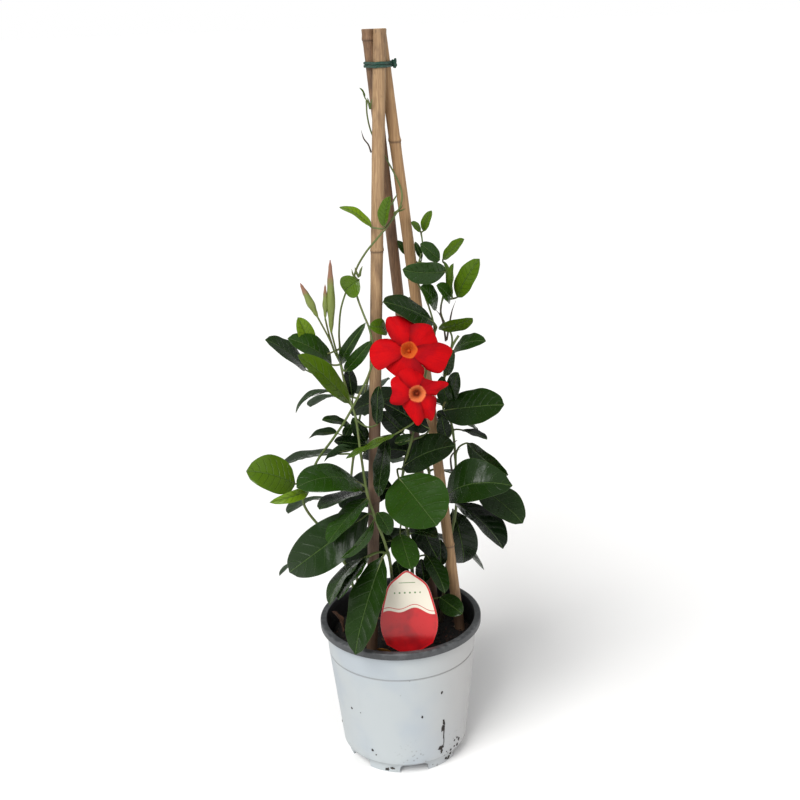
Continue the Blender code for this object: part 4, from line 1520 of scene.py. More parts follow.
@dataclass(frozen=True)
class Leaf:
    """One blade: base, direction, size and bend, and its age.

    Heading is counter-clockwise from +X seen from above, rise is above the level, roll turns
    the blade about its length, arch lifts its middle as a share of its length, and fold
    lifts its two margins as a share of its half width.
    """

    base: Point
    heading: float
    rise: float
    length: float
    width: float
    roll: float = 0.0
    arch: float = 0.09
    fold: float = 0.14
    age: Age = Age.DARK

    def frame(self) -> tuple[Vector, Vector, Vector]:
        """Return the length, side and upper directions.

        Returns:
            The three directions, each of length 1.
        """
        heading, rise, roll = (math.radians(angle) for angle in (self.heading, self.rise, self.roll))
        along = Vector((math.cos(heading) * math.cos(rise), math.sin(heading) * math.cos(rise),
                        math.sin(rise)))
        level = Vector((math.cos(heading + math.pi / 2), math.sin(heading + math.pi / 2), 0))
        upper = along.cross(level)
        across = level * math.cos(roll) + upper * math.sin(roll)
        return along, across, along.cross(across)

    def plain_point(self, share: float) -> Vector:
        """Return the midrib's plain arched place at a share of the length.

        Args:
            share: The share of the length, from 0 at the base to 1 at the tip.

        Returns:
            The place.
        """
        along, _, upper = self.frame()
        rise = 4 * self.arch * share * (1 - share)
        return Vector(self.base) + (along * share + upper * rise) * self.length


@dataclass
class Blade:
    """Builds one leaf's fine two-sided blade into a draft."""

    leaf: Leaf
    seed: int
    thickness: float = 0.5
    columns: int = 12
    spacing: float = 2.7
    rows: tuple[int, int] = (14, 36)
    veins: Venation = Venation()
    pucker: float = 0.024
    ruffle: float = 1.0
    bend: float = 0.03
    curl: float = 0.05

    def width_at(self, share: float) -> float:
        """Return the blade's width at a share of its length, against its greatest width.

        Args:
            share: The share of the length.

        Returns:
            The share of the greatest width.
        """
        if not 0 < share < 1:
            return 0.03
        oval = math.sin(math.pi * share ** 0.96) ** 0.52
        base = 0.6 + 0.4 * smooth_step(share, 0.0, 0.12)
        tip = 1 - 0.5 * smooth_step(share, 0.94, 1.0)
        return max(0.03, oval * base * tip)

    def lift_at(self, share: float, offset: float, chance: float, wave: Point) -> float:
        """Return how far the blade's middle sheet lies above its midrib.

        Args:
            share: The share of the blade's length.
            offset: The place across, from -1 to 1.
            chance: The blade's chance number, which shifts its veins.
            wave: The count, start and size of that margin's waves.

        Returns:
            The height from the fold, the margin's wave and the pucker between the veins.
        """
        leaf, veins = self.leaf, self.veins
        out, middle = abs(offset), math.sin(math.pi * share)
        count, start, size = wave
        ruffle = size * self.ruffle * 0.022 * leaf.length * out ** 2.5
        phase = (share - veins.sweep * out ** 1.3) * veins.pairs + chance
        phase += veins.offset if offset > 0 else 0
        pucker = -self.pucker * leaf.width * math.cos(math.tau * phase)
        pucker *= math.sin(math.pi * min(1, out))
        fold = leaf.fold * 0.5 * leaf.width * self.width_at(share) * out ** 1.25
        return fold + middle * (ruffle * math.sin(math.tau * count * share + start) + pucker)

    def add(self, draft: Draft) -> None:
        """Add the blade to a draft.

        Args:
            draft: Where the corners and faces go.
        """
        leaf = self.leaf
        draw = random.Random(self.seed)
        chance = draw.random()
        waves = [(draw.uniform(1.3, 2.6), draw.uniform(0, math.tau), draw.uniform(0.5, 1.0))
                 for _ in (0, 1)]
        bend = draw.uniform(-self.bend, self.bend)
        curl = draw.uniform(0.0, self.curl)
        _, across, upper = leaf.frame()
        fewest, most = self.rows
        steps = max(fewest, min(most, round(leaf.length / self.spacing)))
        sheets: tuple[list, list] = ([], [])
        for row in range(steps + 1):
            share = 0.5 - 0.5 * math.cos(math.pi * row / steps)
            share = 0.5 * share + 0.5 * row / steps
            half = 0.5 * leaf.width * self.width_at(share)
            middle = leaf.plain_point(share) + across * bend * leaf.length * share * share
            middle -= upper * curl * leaf.length * smooth_step(share, 0.7, 1.0) ** 2 * 0.5
            for under, sheet in enumerate(sheets):
                line = []
                for column in range(self.columns + 1):
                    offset = 2 * column / self.columns - 1
                    lift = self.lift_at(share, offset, chance, waves[offset > 0])
                    groove = 0.4 * math.exp(-(offset * half / 1.1) ** 2) * (1 - share)
                    edge = 0.4 + 0.6 * min(1, (1 - abs(offset)) * 4)
                    depth = 0.5 * self.thickness * edge
                    drop = groove * 1.6 + depth if under else groove - depth
                    spot = middle + across * half * offset + upper * (lift - drop)
                    tone = (leaf.age.value, chance, half)
                    line.append(draft.corner(spot, (offset, share, under), tone))
                sheet.append(line)
        draft.slab(*sheets)


@dataclass(frozen=True)
class Bud:
    """A furled bud: the route of its stalk, its tip and its greatest radius."""

    stalk: tuple[Point, ...]
    tip: Point
    radius: float


@dataclass(frozen=True)
class BudFinish:
    """Furled bud: green at its foot, pink and red at its tip, with twisted seams."""

    green: Colour = (0.17, 0.215, 0.045)
    pink: Colour = (0.25, 0.125, 0.075)
    red: Colour = (0.27, 0.06, 0.05)

    def make(self) -> bpy.types.Material:
        """Return the buds' material.

        Returns:
            The material.
        """
        sheet = Sheet("bud_skin")
        share = sheet.attribute(PLACE).output("Z")
        patch = sheet.grain(260, 3, 0.6)
        colour = sheet.mix(sheet.step(share + (patch - 0.5) * 0.2, 0.62, 0.82), self.green, self.pink)
        colour = sheet.mix(sheet.step(share, 0.9, 1.0) * 0.6, colour, self.red)
        sheet.bump(sheet.grain(900, 3), 0.0002, 0.6)
        return sheet.finish(Base_Color=colour, Roughness=0.36 + patch * 0.15)


@dataclass
class Vine:
    """A leafy stem: its route above the soil, its radii and its leaves."""

    name: str
    route: tuple[Point, ...]
    radii: tuple[float, float]
    leaves: tuple[Leaf, ...]
    youth: float = 0.3
    soil_top: float = 130.0
    root: float = 14.0
    straight: float = 10.0
    step: float = 3.0
    cad_step: float = 22.0
    sides: int = 10
    petiole: float = 0.95
    taper: tuple[Point, ...] = ((0, 1.35), (0.12, 1.0), (0.5, 0.9), (0.7, 0.62), (1, 0.18))
    slender: float = 0.8

    def stem_route(self, spacing: float) -> list[Vector]:
        """Return the stem's smooth route, straight down into the soil.

        Args:
            spacing: The length of a step along it.

        Returns:
            The places of the route, from the foot up.
        """
        x, y = self.route[0]
        foot = (x, y, self.soil_top - self.root)
        rise = smooth_route(((x, y, self.soil_top + self.straight), *self.route[1:]), spacing)
        return [Vector(foot)] + rise

    def stems(self, draft: Draft) -> None:
        """Add the stem to an empty draft, with a swelling at each leaf stalk.

        Args:
            draft: Where the corners and faces go.
        """
        route = self.stem_route(self.step)
        last = len(route) - 1
        low, high = (radius * self.slender for radius in self.radii)
        joints = [self.joint(leaf) for leaf in self.leaves]
        radii = []
        for index, spot in enumerate(route):
            radius = low + (high - low) * index / last
            near = min((spot - joint).length for joint in joints)
            radii.append(radius * (1 + 0.32 * math.exp(-(near / 3.5) ** 2)))
        sweep(draft, route, radii, self.sides)
        draft.tones = [(self.youth + 0.9 * place[2], 0, 0) for place in draft.places]

    def joint(self, leaf: Leaf) -> Vector:
        """Return the place on the stem that a leaf's stalk grows from.

        Args:
            leaf: The leaf.

        Returns:
            The place of the joint.
        """
        base = Vector(leaf.base)
        route = self.stem_route(self.cad_step)[2:]
        return min(route, key=lambda place: (place - base).length + 0.5 * abs(place.z + 6 - base.z))

    def stalk(self, draft: Draft, leaf: Leaf) -> None:
        """Add one leaf's stalk, from its stem into the blade's midrib.

        Args:
            draft: Where the corners and faces go.
            leaf: The leaf that the stalk carries.
        """
        base = Vector(leaf.base)
        spot = self.joint(leaf)
        along, _, upper = leaf.frame()
        middle = spot.lerp(base, 0.55) - along * (0.18 * (base - spot).length)
        inside = leaf.plain_point(0.10) - upper * 0.7
        end = leaf.plain_point(0.45) - upper * 0.85
        route = smooth_route((spot, middle, base - upper * 0.4, inside, end), 2.0)
        radii = tapered(self.petiole * min(1.15, 0.6 + leaf.length / 110), self.taper, len(route))
        sweep(draft, route, radii, 7, (0.55 + 0.45 * leaf.age.value, 0, 0))

    def make(self) -> None:
        """Build the stems and the blades and dress them."""
        draft = Draft()
        self.stems(draft)
        for leaf in self.leaves:
            self.stalk(draft, leaf)
        draft.piece(self.name + "_stems", StemFinish().make(self.name + "_stem"), "leaf", self.name,
                    crease=70)
        draft = Draft()
        for number, leaf in enumerate(self.leaves):
            Blade(leaf, seed=number * 7 + len(self.name)).add(draft)
        draft.piece(self.name + "_leaves", LeafFinish().make(self.name + "_leaf"), "leaf", self.name,
                    crease=75)


def grown_leaves(route: tuple[Point, ...], heights: Sequence[float], outward: float,
                 seed: int) -> tuple[Leaf, ...]:
    """Set pairs of leaves along a stem by rule, turned out of the plant.

    Args:
        route: The stem's points.
        heights: The height of each pair.
        outward: The heading that the pairs open round.
        seed: The seed of their small differences.

    Returns:
        The leaves.
    """
    draw = random.Random(seed)
    bare = Vine("bare", route, (1, 1), ())
    stem = bare.stem_route(bare.cad_step)
    leaves = []
    for number, height in enumerate(heights):
        spot = min(stem, key=lambda place: abs(place.z - height))
        spread = 36 if number % 2 else 70
        for side in (-1, 1):
            heading = outward + side * (spread + draw.uniform(-8, 8))
            length = draw.uniform(62, 84)
            base = spot + polar(1, math.radians(heading), 0.25) * 13
            leaves.append(Leaf(tuple(base), heading, draw.uniform(-42, -6), length, 0.58 * length,
                               side * draw.uniform(4, 24)))
    return tuple(leaves)


LEFT_ROUTE = (
    (-40, -14), (-46, -20, 190), (-56, -30, 235), (-72, -38, 268), (-88, -36, 291), (-92, -30, 303),
    (-85, -28, 322), (-75, -34, 345), (-59, -44, 369), (-45, -52, 391), (-29, -56, 420),
    (-19, -57, 441), (-15, -53, 459), (-18, -46, 478), (-23, -40, 491), (-28, -34, 505),
    (-31, -30, 520), (-28, -30, 533), (-19, -33, 548), (-9, -36, 560), (1, -35, 571),
    (9, -27, 580), (16, -16, 590), (16, -7, 604), (4, -4, 630), (-8, -5, 652), (-12, -12, 670),
    (-12, -18, 684),
)
FRONT_ROUTE = (
    (-8, -22), (-7, -28, 190), (-8, -40, 232), (-12, -56, 262), (-20, -62, 292),
    (-27, -61, 318), (-32, -51, 358), (-35, -41, 387), (-39, -33, 400), (-45, -23, 419),
    (-48, -20, 438), (-48, -19, 453), (-48, -22, 469), (-45, -26, 493), (-39, -28, 511),
)
RIGHT_ROUTE = (
    (44, 22), (50, 21, 190), (57, 20, 235), (62, 12, 268), (62, 0, 300), (62, 3, 330),
    (60, 4, 357), (54, -3, 391), (53, 0, 416), (60, 0, 442), (61, 1, 457), (54, 1, 470),
    (51, 3, 482), (54, 6, 495), (59, 5, 511), (56, 6, 528),
)
CENTRE_ROUTE = (
    (16, -16), (15, -14, 190), (12, -13, 244), (5, -20, 293), (9, -23, 327), (18, -20, 357),
    (27, -15, 397), (38, -12, 437), (44, -12, 465), (37, -9, 496), (28, -10, 517),
    (31, -8, 532), (35, -3, 547), (34, 0, 560),
)
BACK_ROUTE = ((22, 42), (14, 52, 175), (18, 62, 215), (32, 62, 255), (36, 50, 295), (26, 36, 330),
              (11, 34, 365), (7, 44, 400), (20, 46, 432), (28, 34, 462), (21, 20, 492))
REAR_LEFT_ROUTE = ((-40, 34), (-48, 42, 190), (-52, 46, 245), (-46, 46, 300), (-36, 38, 355),
                   (-24, 30, 405), (-12, 26, 450), (-6, 14, 490))

DEEP, DARK, FULL, FRESH, YOUNG = Age
LEFT_LEAVES = (
    Leaf((-12, -32, 572), 170, 32, 35, 14, -19, 0.1, 0.14, YOUNG),
    Leaf((-26, -37, 524), 155, -37, 20, 23, -93, 0.15, 0.26, FRESH),
    Leaf((-1, -37, 572), -30, 75, 30, 14, 75, 0.05, 0.4, FRESH),
    Leaf((-99, -30, 319), -162, 25, 52, 43, -42, 0.09, 0.14, FRESH),
    Leaf((-86, -28, 313), -138, -1, 48, 12, -73, 0.24, 0.28, YOUNG),
    Leaf((-13, -18, 687), -160, 60, 10, 5, -30, age=FRESH),
)
FRONT_LEAVES = (
    Leaf((-78, -16, 452), -132, 70, 37, 19, -100, 0.1, 0.15, YOUNG),
    Leaf((-57, -14, 436), -150, 36, 56, 28, -50, 0.11, 0.18, FULL),
    Leaf((-83, -8, 430), -149, 43, 56, 30, -37, 0.07, 0.13),
    Leaf((-41, -32, 402), -155, 49, 75, 29, -45, 0.04, 0.16, FRESH),
    Leaf((-48, -22, 439), -43, 53, 58, 11, 111, 0.19, 0.15),
    Leaf((-44, -26, 432), -48, 44, 55, 13, 123, 0.05, 0.11, FULL),
    Leaf((-60, -16, 410), -164, -26, 40, 26, 13, 0.14, 0.22),
    Leaf((-40, -21, 373), -131, 25, 44, 15, -32, 0.06, 0.14),
    Leaf((-55, -20, 367), -134, 9, 39, 14, 49, 0.1, 0.14, DEEP),
    Leaf((-25, -36, 359), -167, 13, 34, 25, -15, 0.01, 0.06, DEEP),
    Leaf((-39, -44, 358), -153, -9, 32, 22, 46, 0.13, 0.11, DEEP),
    Leaf((-33, -44, 322), -150, 11, 70, 54, -13, 0.13, 0.0, FULL),
    Leaf((-34, -50, 317), -136, -1, 53, 35, 10, 0.04, 0.07),
    Leaf((-27, -58, 313), -135, -29, 61, 34, 12, 0.04, 0.13, FULL),
    Leaf((-27, -60, 297), -178, -37, 100, 45, -69, 0.18, 0.14),
    Leaf((-34, -58, 249), -130, -28, 60, 33, 28, 0.1, 0.1),
    Leaf((-29, -60, 251), -132, -30, 54, 30, 24, 0.02, 0.12, FULL),
    Leaf((-15, -62, 251), -131, -62, 99, 39, -5, 0.04, 0.14),
    Leaf((-15, -56, 387), -30, 86, 39, 19, 70, 0.0, 0.02, DEEP),
    Leaf((-7, -50, 371), -123, -71, 57, 30, 25, 0.0, 0.01, DEEP),
    Leaf((-18, -58, 297), -31, -58, 25, 23, 4, 0.04, 0.15, FULL),
    Leaf((-22, -64, 291), -139, -32, 49, 14, -98, 0.12, 0.17, FULL),
    Leaf((-39, -12, 403), -118, 78, 31, 14, -145, 0.06, 0.12, DEEP),
    Leaf((-27, -22, 358), -147, 62, 31, 15, -110, 0.06, 0.12, DEEP),
    Leaf((-48, -24, 364), -37, 57, 18, 10, 115, 0.06, 0.12),
)
RIGHT_LEAVES = (
    Leaf((54, 4, 532), -31, 43, 32, 14, 58, 0.02, 0.13, FRESH),
    Leaf((67, 0, 495), -40, 57, 49, 21, 86, 0.05, 0.13, FRESH),
    Leaf((62, 0, 494), -70, 80, 36, 12, 100, 0.05, 0.3, FRESH),
    Leaf((59, 5, 495), -155, 85, 35, 10, -65, 0.05, 0.3, FRESH),
    Leaf((60, -5, 493), -125, 40, 30, 18, -75, age=FULL),
    Leaf((49, -10, 466), -35, 23, 40, 21, 141, 0.03, 0.08, FRESH),
    Leaf((62, -8, 444), -47, 23, 46, 21, 42, 0.09, 0.11),
    Leaf((51, -12, 384), -37, 16, 72, 40, 49, 0.0, 0.0),
    Leaf((56, -4, 391), -66, 57, 41, 19, 107, 0.0, 0.02),
    Leaf((69, -4, 360), -56, 2, 41, 12, 5, 0.04, 0.14, DEEP),
    Leaf((74, 2, 343), -32, -31, 53, 30, 109, 0.04, 0.15),
    Leaf((51, -26, 298), -20, 16, 70, 46, 45, 0.24, 0.4),
    Leaf((86, 0, 296), -39, -27, 59, 42, 12, 0.04, 0.1),
    Leaf((60, 35, 256), -4, -80, 63, 34, 77, 0.23, 0.24, DEEP),
    Leaf((61, -10, 283), -47, -25, 71, 49, -16, 0.07, 0.22, DEEP),
    Leaf((54, -6, 418), -43, 68, 29, 15, 81, 0.01, 0.08),
    Leaf((58, -2, 379), -141, 76, 40, 18, -160, 0.05, 0.19),
    Leaf((53, -4, 351), -139, 76, 25, 15, -130, 0.06, 0.12, DEEP),
    Leaf((56, 2, 369), -170, 39, 15, 12, -80, 0.06, 0.12, DEEP),
)
CENTRE_LEAVES = (
    Leaf((36, -2, 561), -48, 59, 24, 10, 98, 0.08, 0.13, FRESH),
    Leaf((34, -2, 561), -154, 44, 14, 10, -52, 0.03, 0.1, FRESH),
    Leaf((51, -12, 535), -149, 41, 28, 17, -70, 0.0, 0.09, FULL),
    Leaf((56, -16, 524), -156, 9, 45, 25, -112, 0.07, 0.1, FULL),
    Leaf((43, -23, 477), -150, 27, 61, 36, -34, 0.05, 0.02),
    Leaf((-2, -32, 473), -134, 21, 25, 17, -62, 0.13, 0.16, FRESH),
    Leaf((2, -56, 377), -156, -15, 54, 24, 12, 0.0, 0.0, FRESH),
    Leaf((-2, -10, 302), 168, -15, 62, 44, -35, age=DEEP),
    Leaf((18, -2, 276), -48, -56, 56, 34, 77, 0.02, 0.09, DEEP),
    Leaf((12, -6, 398), 165, -20, 60, 34, -30, age=DEEP),
    Leaf((-4, -12, 245), 175, -20, 60, 42, -35, age=DEEP),
    Leaf((16, -14, 342), 150, -10, 56, 40, -25, age=DEEP),
    Leaf((8, -24, 330), -17, 27, 61, 44, 34, 0.09, 0.13, DEEP),
    Leaf((4, -56, 332), -50, -33, 63, 63, 22, 0.0, 0.08, FULL),
    Leaf((15, -20, 257), -40, 5, 32, 24, -5),
    Leaf((3, -38, 264), -75, -32, 42, 29, -8, 0.0, 0.01, FULL),
    Leaf((29, -14, 228), -64, -32, 47, 24, -14, 0.05, 0.14),
    Leaf((42, -10, 177), -48, -12, 33, 22, 41, 0.0, 0.0),
    Leaf((36, -18, 367), -155, 37, 60, 28, -51, 0.0, 0.0, DEEP),
    Leaf((47, -8, 487), -135, 50, 33, 23, -67, 0.08, 0.1, FULL),
    Leaf((10, -14, 362), -165, 49, 34, 18, -90, 0.06, 0.12, DEEP),
    Leaf((3, -20, 201), -125, 75, 29, 20, -140, 0.06, 0.12, DEEP),
    Leaf((26, -16, 198), -121, 81, 29, 16, -145, 0.06, 0.12, DEEP),
    Leaf((44, -6, 211), -71, 86, 31, 14, 160, 0.06, 0.12, DEEP),
    Leaf((1, -16, 353), -6, 22, 20, 10, 75, 0.06, 0.12),
    Leaf((23, 14, 535), -162, 51, 20, 8, -100, 0.06, 0.12, FULL),
    Leaf((34, -4, 535), -162, 69, 18, 6, -105, 0.06, 0.12),
)

BUDS = (
    Bud(((-48, -20, 438), (-53, -24, 451), (-57, -28, 465), (-67, -30, 488)), (-81, -34, 522), 3.6),
    Bud(((-53, -24, 451), (-57, -27, 468), (-60, -29, 486)), (-58, -34, 520), 2.4),
    Bud(((-48, -20, 438), (-52, -24, 455), (-55, -27, 472)), (-52, -34, 543), 4.1),
)

VINES = (
    Vine("vine_left", LEFT_ROUTE, (2.0, 0.9), LEFT_LEAVES, youth=0.55),
    Vine("vine_front", FRONT_ROUTE, (2.2, 1.1), FRONT_LEAVES),
    Vine("vine_right", RIGHT_ROUTE, (2.2, 1.0), RIGHT_LEAVES),
    Vine("vine_centre", CENTRE_ROUTE, (2.2, 0.9), CENTRE_LEAVES),
    Vine("vine_back", BACK_ROUTE, (2.2, 1.0),
         grown_leaves(BACK_ROUTE, (205, 250, 296, 342, 390), 50, 3)),
    Vine("vine_rear_left", REAR_LEFT_ROUTE, (2.2, 1.0),
         grown_leaves(REAR_LEFT_ROUTE, (215, 270, 325, 380), 112, 6)),
)


@dataclass
class BudSpray:
    """The furled buds over the left leaves."""

    buds: tuple[Bud, ...] = BUDS
    swell: tuple[Point, ...] = ((0, 0.26), (0.12, 0.55), (0.4, 1), (0.68, 0.72), (0.9, 0.4), (1, 0.1))
    twist: float = 2.6
    steps: int = 34

    def furl(self, angle: float, index: int) -> float:
        """Return the radius factor of the furled seams at an angle and a station."""
        return 1 + 0.11 * abs(math.sin(2.5 * angle - self.twist * math.pi * index / self.steps))

    def make(self) -> None:
        """Build the stalks and the furled buds and dress them."""
        stalks, skins = Draft(), Draft()
        for bud in self.buds:
            route = smooth_route(bud.stalk, 2.0)
            sweep(stalks, route, [0.9] * len(route), 8, (0.9, 0, 0))
            neck, tip = Vector(bud.stalk[-1]), Vector(bud.tip)
            line = [neck.lerp(tip, step / self.steps) for step in range(self.steps + 1)]
            sweep(skins, line, tapered(bud.radius, self.swell, len(line)), 20, shape=self.furl)
        stalks.piece("bud_stalks", StemFinish().make("bud_stalk"), "leaf", "vine_front")
        skins.piece("buds", BudFinish().make(), "leaf", "vine_front", crease=60)


@dataclass(frozen=True)
class Twig:
    """A thin tapering shoot: its route, its radius at the foot and its youth."""

    route: tuple[Point, ...]
    radius: float
    youth: float


TWIGS = (
    Twig(((55, -2, 452), (53, -3, 470), (50, -4, 479), (45, -6, 486)), 1.0, 0.15),
    Twig(((50, -4, 479), (51, -6, 485), (52, -8, 493)), 0.8, 0.15),
    Twig(((56, -2, 453), (59, -2, 469), (62, 0, 482), (66, 0, 492)), 1.0, 0.15),
    Twig(((-10, -16, 638), (-12, -18, 645), (-16, -20, 651), (-18, -22, 659)), 0.8, 0.1),
    Twig(((-9, -14, 677), (-10, -18, 682), (-11, -20, 687)), 1.2, 0.9),
    Twig(((-9, -14, 677), (-8, -19, 682), (-7, -21, 686)), 1.0, 0.9),
    Twig(((-26, -38, 527), (-28, -41, 532), (-29, -43, 537)), 1.3, 0.8),
    Twig(((-25, -38, 528), (-24, -41, 533), (-22, -43, 538)), 1.3, 0.8),
    Twig(((-28, -38, 525), (-31, -42, 530), (-32, -44, 536)), 1.1, 0.8),
    Twig(((9, -14, 581), (14, -18, 585), (18, -22, 590)), 1.0, 0.8),
    Twig(((11, -14, 582), (16, -18, 584), (20, -21, 586)), 0.9, 0.6),
    Twig(((7, -14, 589), (10, -18, 595), (13, -22, 600)), 0.9, 0.8),
    Twig(((68, 2, 456), (63, 0, 449), (57, -2, 436), (51, -2, 417)), 1.3, 0.9),
    Twig(((56, 0, 341), (59, -2, 345), (64, -4, 349)), 1.2, 0.1),
    Twig(((58, 0, 315), (57, -4, 330), (61, -8, 338), (67, -10, 342)), 1.1, 0.1),
)


@dataclass
class Twigs:
    """The bare forks, bracts and dry tips among the leaves."""

    twigs: tuple[Twig, ...] = TWIGS
    taper: tuple[Point, ...] = ((0, 1.0), (0.55, 0.85), (1, 0.15))

    def make(self) -> bpy.types.Object:
        """Sweep the twigs and dress them.

        Returns:
            The finished piece.
        """
        draft = Draft()
        for twig in self.twigs:
            route = smooth_route(twig.route, 1.5)
            sweep(draft, route, tapered(twig.radius, self.taper, len(route)), 8, (twig.youth, 0, 0))
        return draft.piece("twigs", StemFinish().make("twig"), "leaf", "vine_front", "vine_right",
                           "vine_left", crease=70)


@dataclass(frozen=True)
class PetalFinish:
    """Velvety red petal with faint rays, painted shade where the petals overlap, a small orange throat,
    and a hollow colour deeper in the tube, dark as painted shade by default.
    """

    red: Colour = (0.50, 0.001, 0.003)
    crimson: Colour = (0.24, 0.001, 0.007)
    # The colour of the painted shade on the petals.
    petal_shade: Colour = (0.09, 0.001, 0.003)
    orange: Colour = (0.62, 0.13, 0.022)
    # The default hollow colour, deep in the tube, is dark painted shade.
    hollow: Colour = (0.25, 0.020, 0.004)
    back: Colour = (0.46, 0.010, 0.02)
    throat: float = 7.4

    def make(self, name: str) -> bpy.types.Material:
        """Return the corolla's material.

        Args:
            name: The material's name.

        Returns:
            The material.
        """
        sheet = Sheet(name)
        place = sheet.attribute(PLACE)
        radius, turn, under = place.output("X"), place.output("Y"), place.output("Z")
        tone = sheet.attribute(TONE)
        share, side = tone.output("X"), tone.output("Y")
        rays = sheet.node("ShaderNodeCombineXYZ", values={0: radius * 0.05, 1: turn * 0.55, 2: under})
        ray = sheet.grain(1.0, 3, 0.6, rays)
        cloud = sheet.grain(55, 3, 0.5)
        shade = sheet.step(ray, 0.40, 0.70) * 0.25 + sheet.step(cloud, 0.42, 0.66) * 0.5
        colour = sheet.mix(shade, self.red, self.crimson)
        # Painted shade: each petal darkens on the side that tucks under the next one, and it is darker
        # towards the throat.
        overlap_shade = sheet.step(side, 0.6, 1.0) * 0.55 + sheet.step(share, 0.35, 0.02) * 0.3
        colour = sheet.mix(overlap_shade, colour, self.petal_shade)
        colour = sheet.mix(under * 0.4, colour, self.back)
        glow = sheet.step(radius + (ray - 0.5) * 1.5, self.throat + 1.0, self.throat - 0.6)
        colour = sheet.mix(glow, colour, self.orange)
        # Deeper in the tube the colour goes over to hollow, which paints the shade inside the tube where
        # it is dark.
        colour = sheet.mix(sheet.step(radius, self.throat - 1.6, 2.0) * 0.8, colour, self.hollow)
        sheet.bump(ray * 0.8 + cloud * 0.6, 0.0005, 0.6)
        return sheet.finish(Base_Color=colour, Roughness=0.6 + ray * 0.2, Specular_IOR_Level=0.08)


Outline = tuple[Point, ...]


